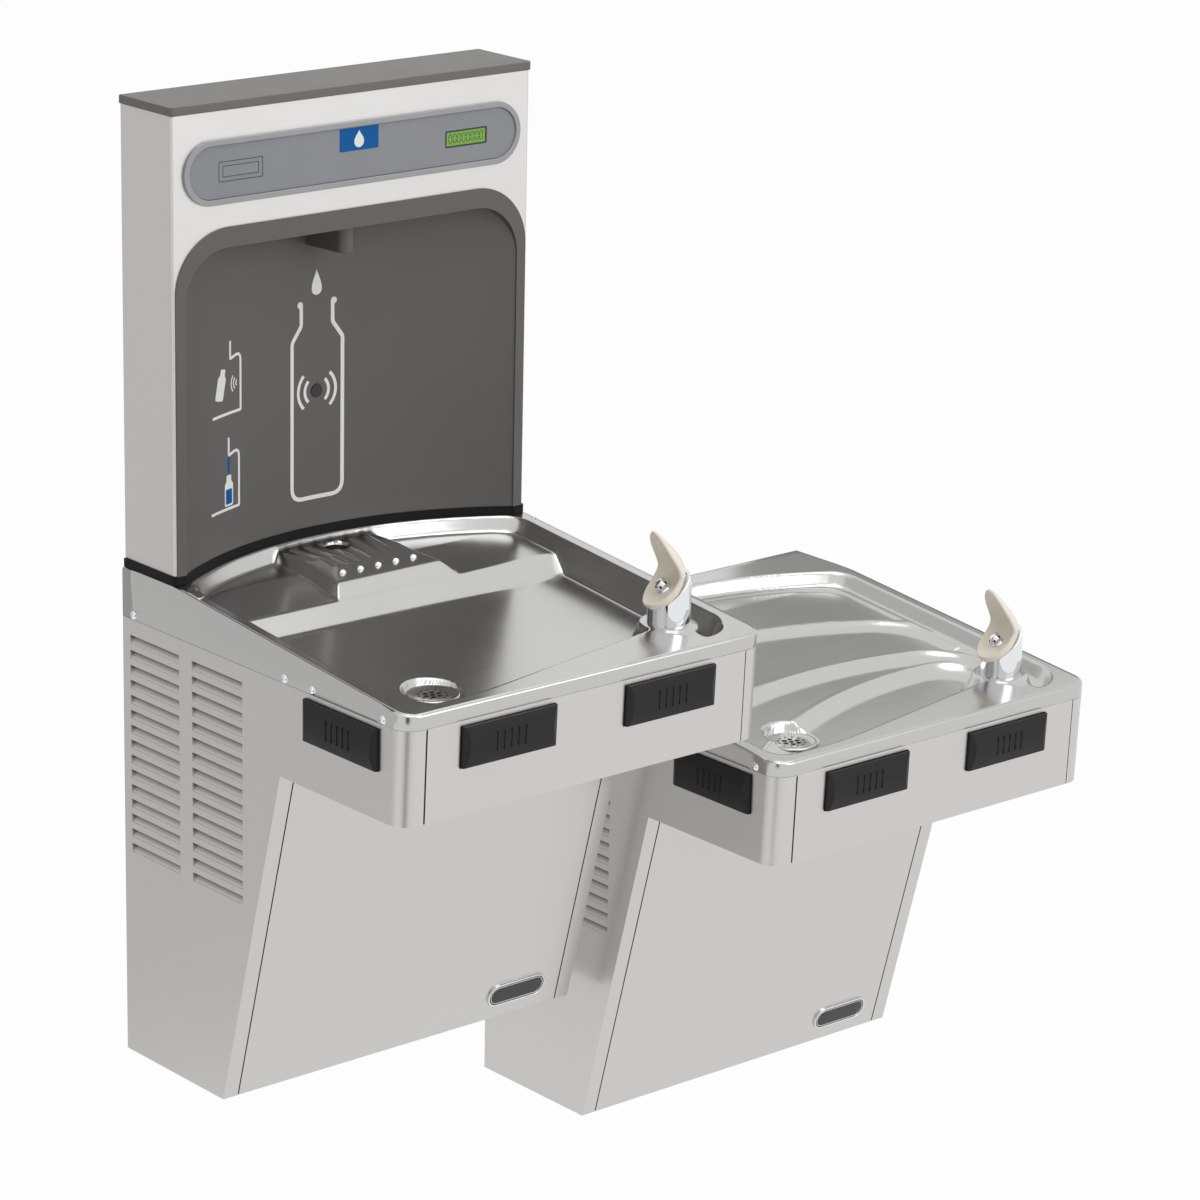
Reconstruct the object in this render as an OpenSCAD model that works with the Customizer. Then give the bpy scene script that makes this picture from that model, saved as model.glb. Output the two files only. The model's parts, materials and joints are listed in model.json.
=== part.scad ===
// Two wall-hung drinking fountains, one lower than the other, with a bottle filler on the tall one.
// X runs along the wall to the right, Y runs into the wall and Z is up, in millimetres.
// The origin is the middle of the tall unit's hanger bolts, on the face of the wall.
// Each unit is drawn about its own middle line, with z = 0 at its flat top next to the wall.

/* [Cabinet] */
// Width of each cabinet
cab_w = 467; // [460:1:480]
// Depth from the wall to the front of the rim
cab_d = 476; // [472:1:486]
// Height of a cabinet, from its flat top to its bottom edge
cab_h = 537; // [530:1:570]
// Depth of the cabinet at its bottom edge
foot_d = 174; // [170:1:185]
// Depth at which the sloping front meets the underside of the apron
knee_d = 273; // [265:1:280]
// Drop from the flat top to the underside of the apron
apron_drop = 152.5; // [150:0.5:160]
// Drop from the flat top to the front of the rim
rim_fall = 37; // [34:0.5:39]
// Depth of the flat part of the top
flat_d = 88; // [86:1:94]
// Drop from the flat top to the lower edge of the basin's skirt
skirt_drop = 53; // [51:0.5:55]
// How far the apron leans in from its rim to its underside
lean_in = 4.5; // [3:0.5:6]
// Radius of the upright front corners
corner_r = 22; // [18:1:24]
// Width of the side panel's return on the apron
side_return = 25.8; // [25:0.2:30]
// Width of the side panel's strip on the sloping front
front_strip = 18.4; // [16:0.2:22]
// Thickness of the cabinet sheet
sheet = 1.2; // [1:0.1:1.5]
// Open seam between two panels
seam = 0.8; // [0.5:0.1:1]

/* [Placing] */
// How much lower the low unit hangs
step_down = 152.4; // [140:0.1:165]
// Space between the two cabinets
unit_gap = 26; // [18:1:40]

/* [Louvres] */
// Rows of louvres in a column
louvre_rows = 15; // [10:1:15]
// Distance between rows
louvre_pitch = 16.4; // [15:0.1:17]
// Length of a louvre
louvre_l = 87; // [80:1:92]
// Height of a louvre's mouth
louvre_h = 9; // [7:0.5:10]
// How far a louvre's blade leans into the cabinet
louvre_in = 6; // [4:0.5:7]
// Depth at which the first column starts
louvre_y = 13; // [10:1:20]
// Space between the two columns
louvre_between = 22.5; // [18:0.5:26]
// Drop from the flat top to the first louvre
louvre_drop = 70.5; // [70:0.5:74]

/* [Push bars] */
// Width of a push bar
bar_w = 119; // [112:1:122]
// Height of a push bar
bar_h = 43; // [40:1:45]
// Drop from the flat top to the middle of a push bar
bar_drop = 80.5; // [79:0.5:82]
// Distance from the middle line to the middle of a front push bar
bar_x = 105; // [100:1:110]
// Depth of the middle of a side push bar
bar_side_y = 374; // [370:1:376]
// How far the pad stands out of the panel
bar_proud = 7; // [6.5:0.5:9]
// Travel of a push bar
bar_travel = 4; // [2:0.5:4.5]
// Clearance round a push bar
bar_clear = 0.6; // [0.4:0.1:0.8]

/* [Basin] */
// Thickness of the basin sheet
basin_t = 1.2; // [1:0.1:1.5]
// Half the width of the bowl
bowl_half = 218; // [212:1:220]
// Width of the flat rim in front of the bowl
bowl_front = 18; // [16:1:22]
// Radius of the bowl's front corners
bowl_r = 24; // [20:1:30]
// Depth of the upper deck under the rim, tall basin
deck_deep = 16.5; // [14:0.5:18]
// Depth from the wall at which the tall basin steps down
step_y = 166; // [160:1:176]
// Height of the step in the tall basin
step_h = 18; // [15:1:20]
// Depth over which the tall basin's step slopes down
step_run = 23.7; // [18:0.1:26]
// Fall of the tall basin's lower floor
floor_fall = 30; // [24:1:31]
// Drop from the flat top to the floor of the strainer's pit
pit_drop = 73; // [72:0.5:75]
// Radius of the strainer's pit
pit_r = 33; // [31:0.5:36]
// Distance of the strainer to the left of the middle line
pit_x = 115.5; // [110:0.5:120]
// Depth of the strainer from the wall
pit_y = 368; // [362:1:374]

/* [Bottle rest] */
// Width of the bottle rest
rest_w = 122; // [110:1:130]
// Depth of the bottle rest's front edge from the wall
rest_d = 148.5; // [140:0.5:152]
// Depth of the bottle rest's top under the rim
rest_deep = 5; // [4:0.5:6]
// Number of studs on the bottle rest
stud_count = 5; // [3:1:5]
// Distance between two studs
stud_pitch = 23.2; // [20:0.2:25]
// Radius of a stud
stud_r = 5; // [4:0.5:5.5]
// Radius of the bottle rest's drain hole
rest_drain_r = 15; // [12:0.5:16]

/* [Bubbler] */
// Distance of the bubbler to the right of the middle line
bub_x = 158.5; // [154:0.5:162]
// Depth of the bubbler from the wall
bub_y = 410; // [406:1:413]
// Radius of the bubbler's body
bub_r = 22.5; // [21:0.5:24]
// Height of the body on its low side
bub_h = 18; // [16:0.5:20]
// Height of the tip of the mouth guard over the deck
guard_h = 100; // [95:1:105]
// Angle of the spray from the wall's direction
bub_turn = -12; // [-25:1:5]

/* [Bottle filler] */
// Width of the filler's case
fill_w = 459; // [455:1:461]
// Height of the filler's case over the flat top
fill_h = 484; // [475:1:495]
// Thickness of the cap
cap_t = 9; // [8:0.5:11]
// Overhang of the cap
cap_over = 2; // [1:0.5:3]
// Height of the gasket
gasket_h = 9; // [7:0.5:10]
// Height of the alcove's surround over the flat top
surround_top = 365; // [360:1:370]
// Width of the alcove's surround
surround_w = 453; // [448:1:454]
// Radius of the surround's upper corners
surround_r = 66; // [60:1:70]
// Width of the surround at the sides
surround_side = 11.5; // [10:0.5:14]
// Width of the surround at the top
surround_head = 21; // [18:0.5:24]
// Radius of the alcove's curved back
arc_r = 386; // [380:1:392]
// Distance from the wall to the alcove's back at its middle
arc_back = 22; // [20:0.5:26]
// Width of the label panel
label_w = 432; // [425:1:436]
// Height of the label panel
label_h = 66.5; // [62:0.5:70]
// Height of the middle of the label panel over the flat top
label_z = 422; // [419:1:426]
// Width of the display's window
lcd_w = 53; // [48:0.5:56]
// Height of the display's window
lcd_h = 15.5; // [14:0.5:18]
// Distance of the display to the right of the middle line
lcd_x = 143.5; // [138:0.5:148]

/* [Wall fixing] */
// Width of a hanger
hang_w = 400; // [390:1:402]
// Distance between the hanger's bolts along the wall
hang_bolt_x = 355.6; // [350:0.1:360]
// Distance between the hanger's bolts up the wall
hang_bolt_z = 30; // [24:1:32]
// Radius of the bolt holes
bolt_r = 4.5; // [3.5:0.5:5]
// Drop from the flat top to the middle of the hanger's bolts
hang_drop = 65; // [63:0.5:67]

/* [Hidden] */
$fn = 64;
// Overrun of every cut past the face that it opens
over = 12;
// Running gap between pieces that only meet
fit = 0.3;
// Angles of the rim, of the leaning apron and of the sloping front
tilt = atan(rim_fall / (cab_d - flat_d));
lean = atan(lean_in / (apron_drop - rim_fall));
slope = atan((knee_d - foot_d) / (cab_h - apron_drop));
// How far the leaning prism is lengthened so that its ends stay outside the cabinet
reach = cab_d * sin(lean) + over;
// Half the width that the chassis fills, clear of the side panels' tabs
frame_half = cab_w / 2 - 2 * sheet - fit;
// Lap and rise of the tab that stands behind the basin's skirt
tab_lap = 2.4;
tab_rise = 9;
// Depth of the flange folded back round the sloping panel
flange = 12;
// Bottom return of the sloping panel
foot_return = 22;
// Place of the side screws, as shares of the cabinet's depth
screw_shares = [0.04, 0.589, 0.685, 0.922];
// Height of the side screws over the skirt's edge, and their sizes
screw_up = 5;
screw_r = 2;
screw_head_r = 4.8;
screw_head_h = 3;
screw_l = 9;
// Back plate and chassis: thicknesses, members and the shelf that carries the tank
back_t = 1.5;
back_top = 104;
pan_t = 1.5;
pan_lip = 18;
post_w = 25;
arm_h = 20;
arm_front = 440;
arm_back = 216;
rail_y = 290;
rail_w = 40;
shelf_drop = 352;
shelf_x = 30;
shelf_d = 175;
// Rough-in opening in the back plate, about the waste pipe
rough_half = 58;
wall_bolt_z = 250;
wall_bolt_drop = 290;
// Hanger: plate, ledge and lip
hang_t = 3;
hang_top = 35;
hang_bot = 95;
lip_out = 9;
lip_rise = 13;
// Push bar: neck, lip, pins and the bracket behind them
bar_edge = 3;
bar_bevel = 7;
bar_fall = 1.2;
bar_lip = 2;
lip_t = 1.5;
pin_r = 3;
pin_x = 35;
pin_down = 9;
pin_l = 22;
pin_fit = 0.3;
rib_count = 5;
rib_w = 2;
rib_pitch = 9;
rib_tall = 20;
rib_proud = 0.6;
bracket_y = 15;
bracket_t = 1.5;
bracket_h = 21;
bracket_half = 64;
boss_w = 10;
boss_h = 8;
boss_l = bracket_y - sheet - 2 * fit - bar_travel;
switch_w = 28;
switch_h = 14;
switch_l = 10;
// Basin: shelf that carries the bubbler, and the curved steps of the low basin
shelf_tip = 128;
boss_r = 30;
back_skirt = 15;
bowl_set = 6;
bowl_front_y = cab_d - bowl_front;
// Depths of the low basin's floors under the rim
low_deep = [16, 22, 29, 37];
// Curved step edges of the low basin: x and y of the nearest-to-wall point and the radius
low_arc = [[-60, -148, 560], [20, -262, 600], [130, -300, 550]];
rest_ribs = 6;
rest_rib_r = 2.2;
rest_rib_pitch = 18;
rest_foot = step_y - rest_d - sheet;
rest_back = 18;
rest_drain_y = 58;
stud_back = 20;
rib_back = 14;
// Strainer and waste pipe
strainer_r = 28;
strainer_t = 2;
strainer_hole_r = 2.4;
tail_r = 18;
tail_wall = 2;
tail_l = 34;
pipe_r = 15.9;
pipe_wall = 1.6;
pipe_low = 24;
// The outlet's spigot by the wall is a little wider than the pipe behind it
spigot_l = 60;
spigot_step = 0.6;
pipe_back = 195;
pipe_out = 340;
nut_r = 25;
nut_h = 12;
// Bubbler: flange, shank, nut, guard and nozzle
bub_flange = 1.2;
bub_flange_h = 2;
cut_angle = 40;
bend_z = 38;
bend_r = 54;
bend_angle = 75;
shank_r = 7.5;
shank_l = 52;
shank_nut_r = 15;
shank_nut_h = 7;
dish_r = 25.5;
dish_t = 9;
dish_round = 4.2;
dish_x = -4;
scoop_r = 36;
scoop_deep = 5;
hood_t = 3.2;
hood_mouth_r = 48;
hood_mouth_x = 52;
hood_mouth_z = 62;
// Half width of the hood at shares of the guard's height, and the radius of its tip
hood_shares = [[0, 1], [0.45, 1], [0.6, 0.91], [0.79, 0.67], [0.91, 0.44]];
hood_tip_r = 9;
nozzle_r = 6.5;
nozzle_h = 11;
nozzle_stem = 3.5;
// Valve block and its tubes
tube_r = 4.2;
inlet_r = 4.8;
inlet_l = 26;
elbow_share = 1.2;
valve_x = 90;
valve_w = 56;
valve_y = 28;
valve_h = 30;
tube_up = 100;
feed_x = -80;
feed_y = 40;
feed_drop = 300;
tube_under = 17;
coupling_r = 8;
coupling_l = 14;
// Line from the tank to the low unit
line_drop = 330;
line_y = louvre_y + louvre_l + louvre_between / 2;
line_turn = 60;
grommet = 1.5;
// Cooling: tank, compressor, condenser, shroud, fan and motor
tank_r = 58;
tank_h = 185;
tank_x = 110;
tank_y = line_y;
comp_r = 60;
comp_h = 140;
comp_x = 105;
comp_y = 86;
comp_foot_r = 9;
comp_foot_h = 8;
comp_foot_at = 48;
coil_x = -222;
coil_t = 34;
coil_y0 = 28;
coil_y1 = 168;
coil_z0 = 95;
coil_z1 = 300;
coil_fins = 16;
fin_t = 0.8;
coil_rows = 6;
coil_tube_r = 4;
coil_plate = 1.5;
shroud_t = 24;
shroud_wall = 1.5;
fan_r = 60;
fan_gap = 5;
fan_hub_r = 14;
fan_hub_l = 16;
fan_blades = 5;
blade_t = 1.6;
blade_w = 28;
blade_pitch = 32;
shaft_r = 3;
shaft_fit = 0.05;
shaft_l = 14;
motor_r = 24;
motor_l = 34;
arm_w = 12;
// Filler: case, liner, spout, label, display and the pieces inside
case_r = 3;
liner_t = 3;
surround_t = 1.5;
gasket_out = 2;
gasket_in = 1;
spout_half = 16;
spout_tip_half = 10;
spout_h = 29;
spout_d = 79;
spout_bore_r = 5;
sensor_z = 157;
sensor_r = 7;
sensor_t = 2;
bezel_w = 6;
bezel_t = 3.5;
panel_t = 1.5;
lcd_t = 1;
cap_lip = 6;
fill_bolt_x = 380;
fill_bolt_z = 400;
fill_bolt_r = 3.5;
solenoid_x = 70;
solenoid_w = 40;
solenoid_h = 46;
solenoid_d = 30;
coil_can_r = 13;
box_x = -110;
box_w = 110;
box_h = 60;
box_d = 34;
// Plate on the sloping panel
badge_w = 80;
badge_h = 28;
badge_t = 1.6;
badge_x = 153.5;
badge_up = 29;

// Depth (as a negative y) of the sloping front at height z, moved in by o
function slope_y(z, o) = -(knee_d + (apron_drop + z) * tan(slope)) + o / cos(slope);
// Height of the rim's plane at depth y
function rim_z(y) = y > -flat_d ? 0 : (y + flat_d) * tan(tilt);

module tall() translate([0, 0, hang_drop]) children();
module low() translate([cab_w + unit_gap, 0, hang_drop - step_down]) children();
module mirrored() { mirror([1, 0, 0]) children(); }

// Extrudes an outline drawn in depth and height across the unit
module across(w) translate([-w / 2, 0, 0]) rotate([90, 0, 90]) linear_extrude(height = w) children();
// Extrudes an outline drawn in width and height towards the front
module forward(d) rotate([90, 0, 0]) linear_extrude(height = d) children();
// Tilts with the sloping rim, and leans with the apron
module on_rim() translate([0, -flat_d, 0]) rotate([tilt, 0, 0]) translate([0, flat_d, 0]) children();
module leaning() translate([0, -cab_d, -rim_fall]) rotate([lean, 0, 0])
    translate([0, cab_d, rim_fall]) children();

// Plan with rounded front corners, open to y = back behind
module front_rounded(half, front, r, back) {
    translate([-half, r - front]) square([2 * half, front - r + back]);
    translate([r - half, -front]) square([2 * (half - r), front]);
    for (s = [-1, 1]) translate([s * (half - r), r - front]) circle(r = r);
}

module pill(w, h) {
    square([w - h, h], center = true);
    for (s = [-1, 1]) translate([s * (w - h) / 2, 0]) circle(r = h / 2);
}

// Tube through a list of points, with a soldered elbow at every corner
module tube_run(points, r) {
    for (i = [0 : len(points) - 2]) tube_between(points[i], points[i + 1], r);
    for (i = [1 : len(points) - 2]) translate(points[i]) sphere(r = elbow_share * r);
}
module tube_between(a, b, r) {
    d = b - a;
    length = norm(d);
    translate(a) rotate([0, acos(d[2] / length), atan2(d[1], d[0])]) cylinder(r = r, h = length);
}

// Closed form of a cabinet, moved in by o on every face
module cabinet_solid(o, back, top) intersection() {
    leaning() translate([0, 0, -cab_h - reach]) linear_extrude(height = cab_h + reach + over)
        front_rounded(cab_w / 2 - o, cab_d - o, corner_r - o, over);
    across(cab_w) polygon([
        [back, top], [-cab_d - over, top], [-cab_d - over, o - apron_drop],
        [slope_y(o - apron_drop, o), o - apron_drop], [slope_y(o - cab_h, o), o - cab_h], [back, o - cab_h]
    ]);
}

module cabinet_shell() difference() {
    cabinet_solid(0, 0, -skirt_drop);
    cabinet_solid(sheet, over, over - skirt_drop);
}

// Tab that stands up behind the basin's skirt
module rim_tab() intersection() {
    difference() {
        cabinet_solid(sheet, 0, tab_rise - skirt_drop);
        cabinet_solid(2 * sheet, over, over + tab_rise - skirt_drop);
    }
    translate([-cab_w, -cab_d - over, -skirt_drop - tab_lap])
        cube([2 * cab_w, cab_d + over - basin_t - fit, tab_lap + tab_rise]);
}

module bar_opening()
    cube([bar_w + 2 * bar_clear, 2 * over, bar_h + 2 * bar_clear], center = true);
module at_front_bar(s) leaning() translate([s * bar_x, -cab_d, -bar_drop]) children();
module at_side_bar(s) translate([s * cab_w / 2, -bar_side_y, -bar_drop]) rotate([0, 0, s * 90]) children();
// Place of side screw k on the left side
module at_screw(k) translate([-cab_w / 2, -screw_shares[k] * cab_d, screw_up - skirt_drop])
    rotate([0, 90, 0]) children();

module side_region() {
    translate([-cab_w / 2 - over, -cab_d - over, -apron_drop])
        cube([over + side_return, cab_d + over, apron_drop]);
    translate([-cab_w / 2 - over, -cab_d - over, -cab_h - over])
        cube([over + front_strip, cab_d + over, cab_h + over - apron_drop]);
}

// One louvre: a blade that leans in from the lower edge of its mouth, with closed ends
module louvre() {
    forward(louvre_l) polygon([
        [0, -sheet], [sheet, -sheet], [sheet + louvre_in, louvre_h], [louvre_in, louvre_h]
    ]);
    for (y = [sheet, -louvre_l]) translate([0, y, 0]) forward(sheet) polygon([
        [0, -sheet], [sheet, -sheet], [sheet + louvre_in, louvre_h], [0, louvre_h]
    ]);
}
module at_louvres() for (column = [0, 1], row = [0 : louvre_rows - 1]) translate([
    -cab_w / 2,
    -louvre_y - column * (louvre_l + louvre_between),
    -louvre_drop - louvre_h - row * louvre_pitch
]) children();

// The left panel; the right one is its mirror image
module side_panel(line) {
    difference() {
        union() {
            intersection() { cabinet_shell(); side_region(); }
            intersection() { rim_tab(); side_region(); }
        }
        at_louvres() translate([-over, -louvre_l, 0]) cube([2 * over, louvre_l, louvre_h]);
        at_side_bar(-1) bar_opening();
        for (k = [0 : len(screw_shares) - 1]) at_screw(k)
            cylinder(r = screw_r + fit, h = 2 * over, center = true);
        if (line > 0) translate([-cab_w / 2 - over, -line_y, -line]) rotate([0, 90, 0])
            cylinder(r = tube_r + grommet, h = 2 * over);
    }
    at_louvres() louvre();
}

module apron() color("silver") difference() {
    intersection() {
        union() { cabinet_shell(); rim_tab(); }
        translate([side_return + seam - cab_w / 2, -cab_d - over, -apron_drop])
            cube([cab_w - 2 * (side_return + seam), cab_d, apron_drop]);
    }
    for (s = [-1, 1]) at_front_bar(s) bar_opening();
}

module lower_panel() color("silver") {
    half = cab_w / 2 - front_strip - seam;
    intersection() {
        cabinet_shell();
        translate([-half, -cab_d, -cab_h])
            cube([2 * half, cab_d - foot_d + foot_return, cab_h - apron_drop - seam]);
    }
    intersection() {
        difference() {
            cabinet_solid(0, 0, -skirt_drop);
            cabinet_solid(flange, over, -skirt_drop);
        }
        for (s = [-1, 1]) translate([s * (half - sheet / 2) - sheet / 2, -cab_d, 2 * flange - cab_h])
            cube([sheet, cab_d - foot_d, cab_h - apron_drop - 3 * flange]);
    }
}

module badge() translate([badge_x, slope_y(badge_up - cab_h, 0), badge_up - cab_h])
    rotate([slope, 0, 0]) forward(badge_t) pill(badge_w, badge_h);

// Base pan, rear posts with the hook rail, side arms and front rail, with a shelf for the tank
module chassis(with_shelf) color("gainsboro") {
    floor_z = sheet - cab_h;
    front_y = slope_y(floor_z, sheet + fit);
    difference() {
        translate([-frame_half, front_y, floor_z]) cube([2 * frame_half, -front_y - back_t, pan_lip]);
        translate([-frame_half - over, front_y + pan_t, floor_z + pan_t])
            cube([2 * (frame_half + over), cab_d, pan_lip]);
    }
    for (s = [-1, 1]) {
        translate([s * (frame_half - post_w + pan_t / 2) - pan_t / 2, -post_w, floor_z])
            cube([pan_t, post_w - back_t, cab_h - sheet - hang_top + lip_rise + 2 * fit + hang_t]);
        translate([s * (frame_half - post_w / 2) - post_w / 2, -back_t - pan_t, floor_z])
            cube([post_w, pan_t, cab_h - sheet - hang_top]);
        translate([s * (frame_half - pan_t / 2) - pan_t / 2, -arm_front, sheet + fit - apron_drop])
            cube([pan_t, arm_front - arm_back, arm_h]);
    }
    translate([-frame_half, -rail_y - rail_w, sheet + fit - apron_drop])
        cube([2 * frame_half, rail_w, pan_t]);
    hook_rail();
    if (with_shelf) {
        translate([shelf_x, -shelf_d, -shelf_drop]) cube([frame_half - shelf_x, shelf_d - back_t, pan_t]);
        translate([shelf_x, -shelf_d, -shelf_drop - pan_lip]) cube([frame_half - shelf_x, pan_t, pan_lip]);
    }
}
// Rail across the back that hooks over the hanger's lip
module hook_rail() {
    top = lip_rise + fit - hang_top;
    across(2 * frame_half - post_w) polygon([
        [-lip_out - fit - hang_t, top + hang_t], [-hang_t - fit, top + hang_t],
        [-hang_t - fit, fit - hang_top], [fit - lip_out + hang_t, fit - hang_top],
        [fit - lip_out + hang_t, top], [-lip_out - fit, top],
        [-lip_out - fit, -hang_bot], [-lip_out - fit - hang_t, -hang_bot]
    ]);
}

module hanger() color("gray") difference() {
    across(hang_w) polygon([
        [0, -hang_bot], [0, -hang_top], [-lip_out + hang_t, -hang_top],
        [-lip_out + hang_t, lip_rise - hang_top], [-lip_out, lip_rise - hang_top],
        [-lip_out, -hang_top - hang_t], [-hang_t, -hang_top - hang_t], [-hang_t, -hang_bot]
    ]);
    for (x = [-1, 1], z = [-1, 1]) translate([x * hang_bolt_x / 2, over, z * hang_bolt_z / 2 - hang_drop])
        rotate([90, 0, 0]) cylinder(r = bolt_r, h = 2 * over);
}

module back_panel() color("gainsboro") difference() {
    translate([-frame_half, -back_t, sheet + pan_t - cab_h])
        cube([2 * frame_half, back_t, cab_h - sheet - pan_t - back_top]);
    translate([-pit_x - rough_half, -over, -pipe_out - rough_half])
        cube([2 * rough_half, 2 * over, 2 * rough_half]);
    for (x = [-1, 1], z = [-1, 1])
        translate([x * hang_bolt_x / 2, over, z * wall_bolt_z / 2 - wall_bolt_drop])
        rotate([90, 0, 0]) cylinder(r = bolt_r, h = 2 * over);
}

// Basin: deck with skirts, bowl, pit and the shelf that carries the bubbler
module deck_solid(o, back, low_z) intersection() {
    leaning() translate([0, 0, -cab_h]) linear_extrude(height = cab_h + reach)
        front_rounded(cab_w / 2 - o, cab_d - o, corner_r - o, over);
    across(cab_w) polygon([
        [back, -o], [-flat_d, -o], [-cab_d - over, rim_z(-cab_d - over) - o / cos(tilt)],
        [-cab_d - over, low_z], [back, low_z]
    ]);
}

module shelf_plan(g) {
    polygon([
        [-shelf_tip, -cab_d], [-shelf_tip, -bowl_front_y - g], [bub_x, -bub_y - g],
        [bub_x + boss_r - g, -bub_y], [bub_x + boss_r - g, -cab_d]
    ]);
    translate([bub_x, -bub_y]) circle(r = boss_r - g);
}

module bowl_plan(g) difference() {
    intersection() {
        translate([0, -arc_back - arc_r]) circle(r = arc_r - bowl_set + g);
        front_rounded(bowl_half + g, bowl_front_y + g, bowl_r + g, 0);
    }
    shelf_plan(g);
}

module pit(g) translate([-pit_x, -pit_y, -pit_drop - g]) cylinder(r = pit_r + g, h = pit_drop - rim_fall + g);

// Space in the tall bowl: an upper deck by the wall, a step, and a floor that falls to the front
module tall_bowl(g) intersection() {
    translate([0, 0, -cab_h]) linear_extrude(height = cab_h + over) bowl_plan(g);
    across(cab_w) polygon([
        [over, over], [over, -deck_deep - g], [-flat_d, -deck_deep - g],
        [g - step_y, rim_z(-step_y) - deck_deep - g],
        [g - step_y - step_run, rim_z(-step_y) - deck_deep - step_h - g],
        [-cab_d, rim_z(-step_y) - deck_deep - step_h - floor_fall - g], [-cab_d, over]
    ]);
}

// Space in the low bowl: four floors that step down along curves towards the strainer
module low_bowl(g) for (k = [0 : len(low_deep) - 1]) on_rim()
    translate([0, 0, -low_deep[k] - g]) linear_extrude(height = low_deep[k] + over + g) intersection() {
        bowl_plan(g);
        if (k > 0) translate([low_arc[k - 1][0], low_arc[k - 1][1] - low_arc[k - 1][2]])
            circle(r = low_arc[k - 1][2] + g, $fn = 180);
        else square(4 * cab_d, center = true);
    }

// The bottle rest, moved in by o
module rest_solid(o, foot) across(rest_w - 2 * o) polygon([
    [-rest_back, -rest_deep - o], [-flat_d, -rest_deep - o],
    [o - rest_d, rim_z(-rest_d) - rest_deep - o],
    [o - rest_d - rest_foot, rim_z(-rest_d - rest_foot) - deck_deep - o],
    [o - rest_d - rest_foot, foot], [-rest_back, foot]
]);

module basin_sheet(lower) color("whitesmoke") {
    difference() {
        union() {
            difference() {
                deck_solid(0, 0, -skirt_drop);
                deck_solid(basin_t, -basin_t, -skirt_drop - over);
                translate([-frame_half, -over, -skirt_drop - over])
                    cube([2 * frame_half, 2 * over, skirt_drop + over - back_skirt]);
            }
            intersection() {
                if (lower) low_bowl(basin_t); else tall_bowl(basin_t);
                deck_solid(0, 0, -cab_h);
            }
            intersection() { pit(basin_t); deck_solid(0, 0, -cab_h); }
        }
        if (lower) low_bowl(0); else tall_bowl(0);
        pit(0);
        basin_holes();
    }
}
module basin_holes() {
    translate([-pit_x, -pit_y, -cab_h]) cylinder(r = tail_r + fit, h = cab_h);
    translate([bub_x, -bub_y, -cab_h]) cylinder(r = shank_r + fit, h = cab_h + over);
    for (k = [0 : len(screw_shares) - 1]) {
        at_screw(k) cylinder(r = screw_r + fit, h = 2 * over, center = true);
        mirrored() at_screw(k) cylinder(r = screw_r + fit, h = 2 * over, center = true);
    }
}

module bottle_rest() {
    floor_z = rim_z(-rest_d - rest_foot) - deck_deep - basin_t;
    rest_solid(0, floor_z);
    for (k = [0 : stud_count - 1]) translate([
        (k - (stud_count - 1) / 2) * stud_pitch, stud_back - rest_d, rim_z(stud_back - rest_d) - rest_deep
    ]) sphere(r = stud_r);
    for (k = [0 : rest_ribs - 1]) rest_rib((k - (rest_ribs - 1) / 2) * rest_rib_pitch);
}
// A rib runs from behind the studs towards the wall, and stops short of the drain hole
module rest_rib(x) {
    front = rest_d - stud_back - rib_back;
    back = abs(x) < rest_drain_r + rest_rib_r ? rest_drain_y + rest_drain_r + rest_rib_r : rest_drain_y;
    translate([x, -back, -rest_deep]) rotate([90 + tilt / 2, 0, 0])
        cylinder(r = rest_rib_r, h = front - back);
}

module tall_basin() color("whitesmoke") difference() {
    union() {
        basin_sheet(false);
        bottle_rest();
    }
    rest_solid(basin_t, -skirt_drop);
    translate([0, -rest_drain_y, -skirt_drop]) cylinder(r = rest_drain_r, h = skirt_drop);
}

module strainer() color("silver") translate([-pit_x, -pit_y, -pit_drop]) {
    difference() {
        union() {
            cylinder(r = strainer_r, h = strainer_t);
            translate([0, 0, -tail_l]) cylinder(r = tail_r, h = tail_l);
        }
        translate([0, 0, -tail_l - over]) cylinder(r = tail_r - tail_wall, h = tail_l + over);
        for (ring = [1, 2], k = [0 : 5 * ring - 1]) rotate([0, 0, k * 72 / ring])
            translate([ring * tail_r / 3, 0, -over]) cylinder(r = strainer_hole_r, h = 2 * over);
        translate([0, 0, -over]) cylinder(r = strainer_hole_r, h = 2 * over);
    }
    translate([0, 0, -basin_t - nut_h]) difference() {
        cylinder(r = nut_r, h = nut_h, $fn = 6);
        translate([0, 0, -over]) cylinder(r = tail_r - tail_wall, h = nut_h + 2 * over);
    }
}

// Waste pipe: down from the strainer, back over the apron's underside, down, and out to the wall
module waste_pipe() color("dimgray") difference() {
    union() {
        tube_run(waste_route, pipe_r - spigot_step);
        translate([-pit_x, 0, -pipe_out]) rotate([90, 0, 0]) cylinder(r = pipe_r, h = spigot_l);
    }
    translate([-pit_x, over, -pipe_out]) rotate([90, 0, 0])
        cylinder(r = pipe_r - pipe_wall, h = pipe_back / 2);
    translate([-pit_x, -pit_y, pipe_low - apron_drop])
        cylinder(r = pipe_r - pipe_wall, h = apron_drop);
}
waste_route = [
    [-pit_x, -pit_y, over - pit_drop - tail_l], [-pit_x, -pit_y, pipe_low - apron_drop],
    [-pit_x, -pipe_back, pipe_low - apron_drop], [-pit_x, -pipe_back, -pipe_out], [-pit_x, 0, -pipe_out]
];

module at_bubbler() translate([bub_x, -bub_y, rim_z(-bub_y)]) rotate([0, 0, bub_turn]) children();
// Plane that cuts the body's top, low towards the spray
module at_cut() translate([-bub_r, 0, bub_h]) rotate([0, -cut_angle, 0]) children();

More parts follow.
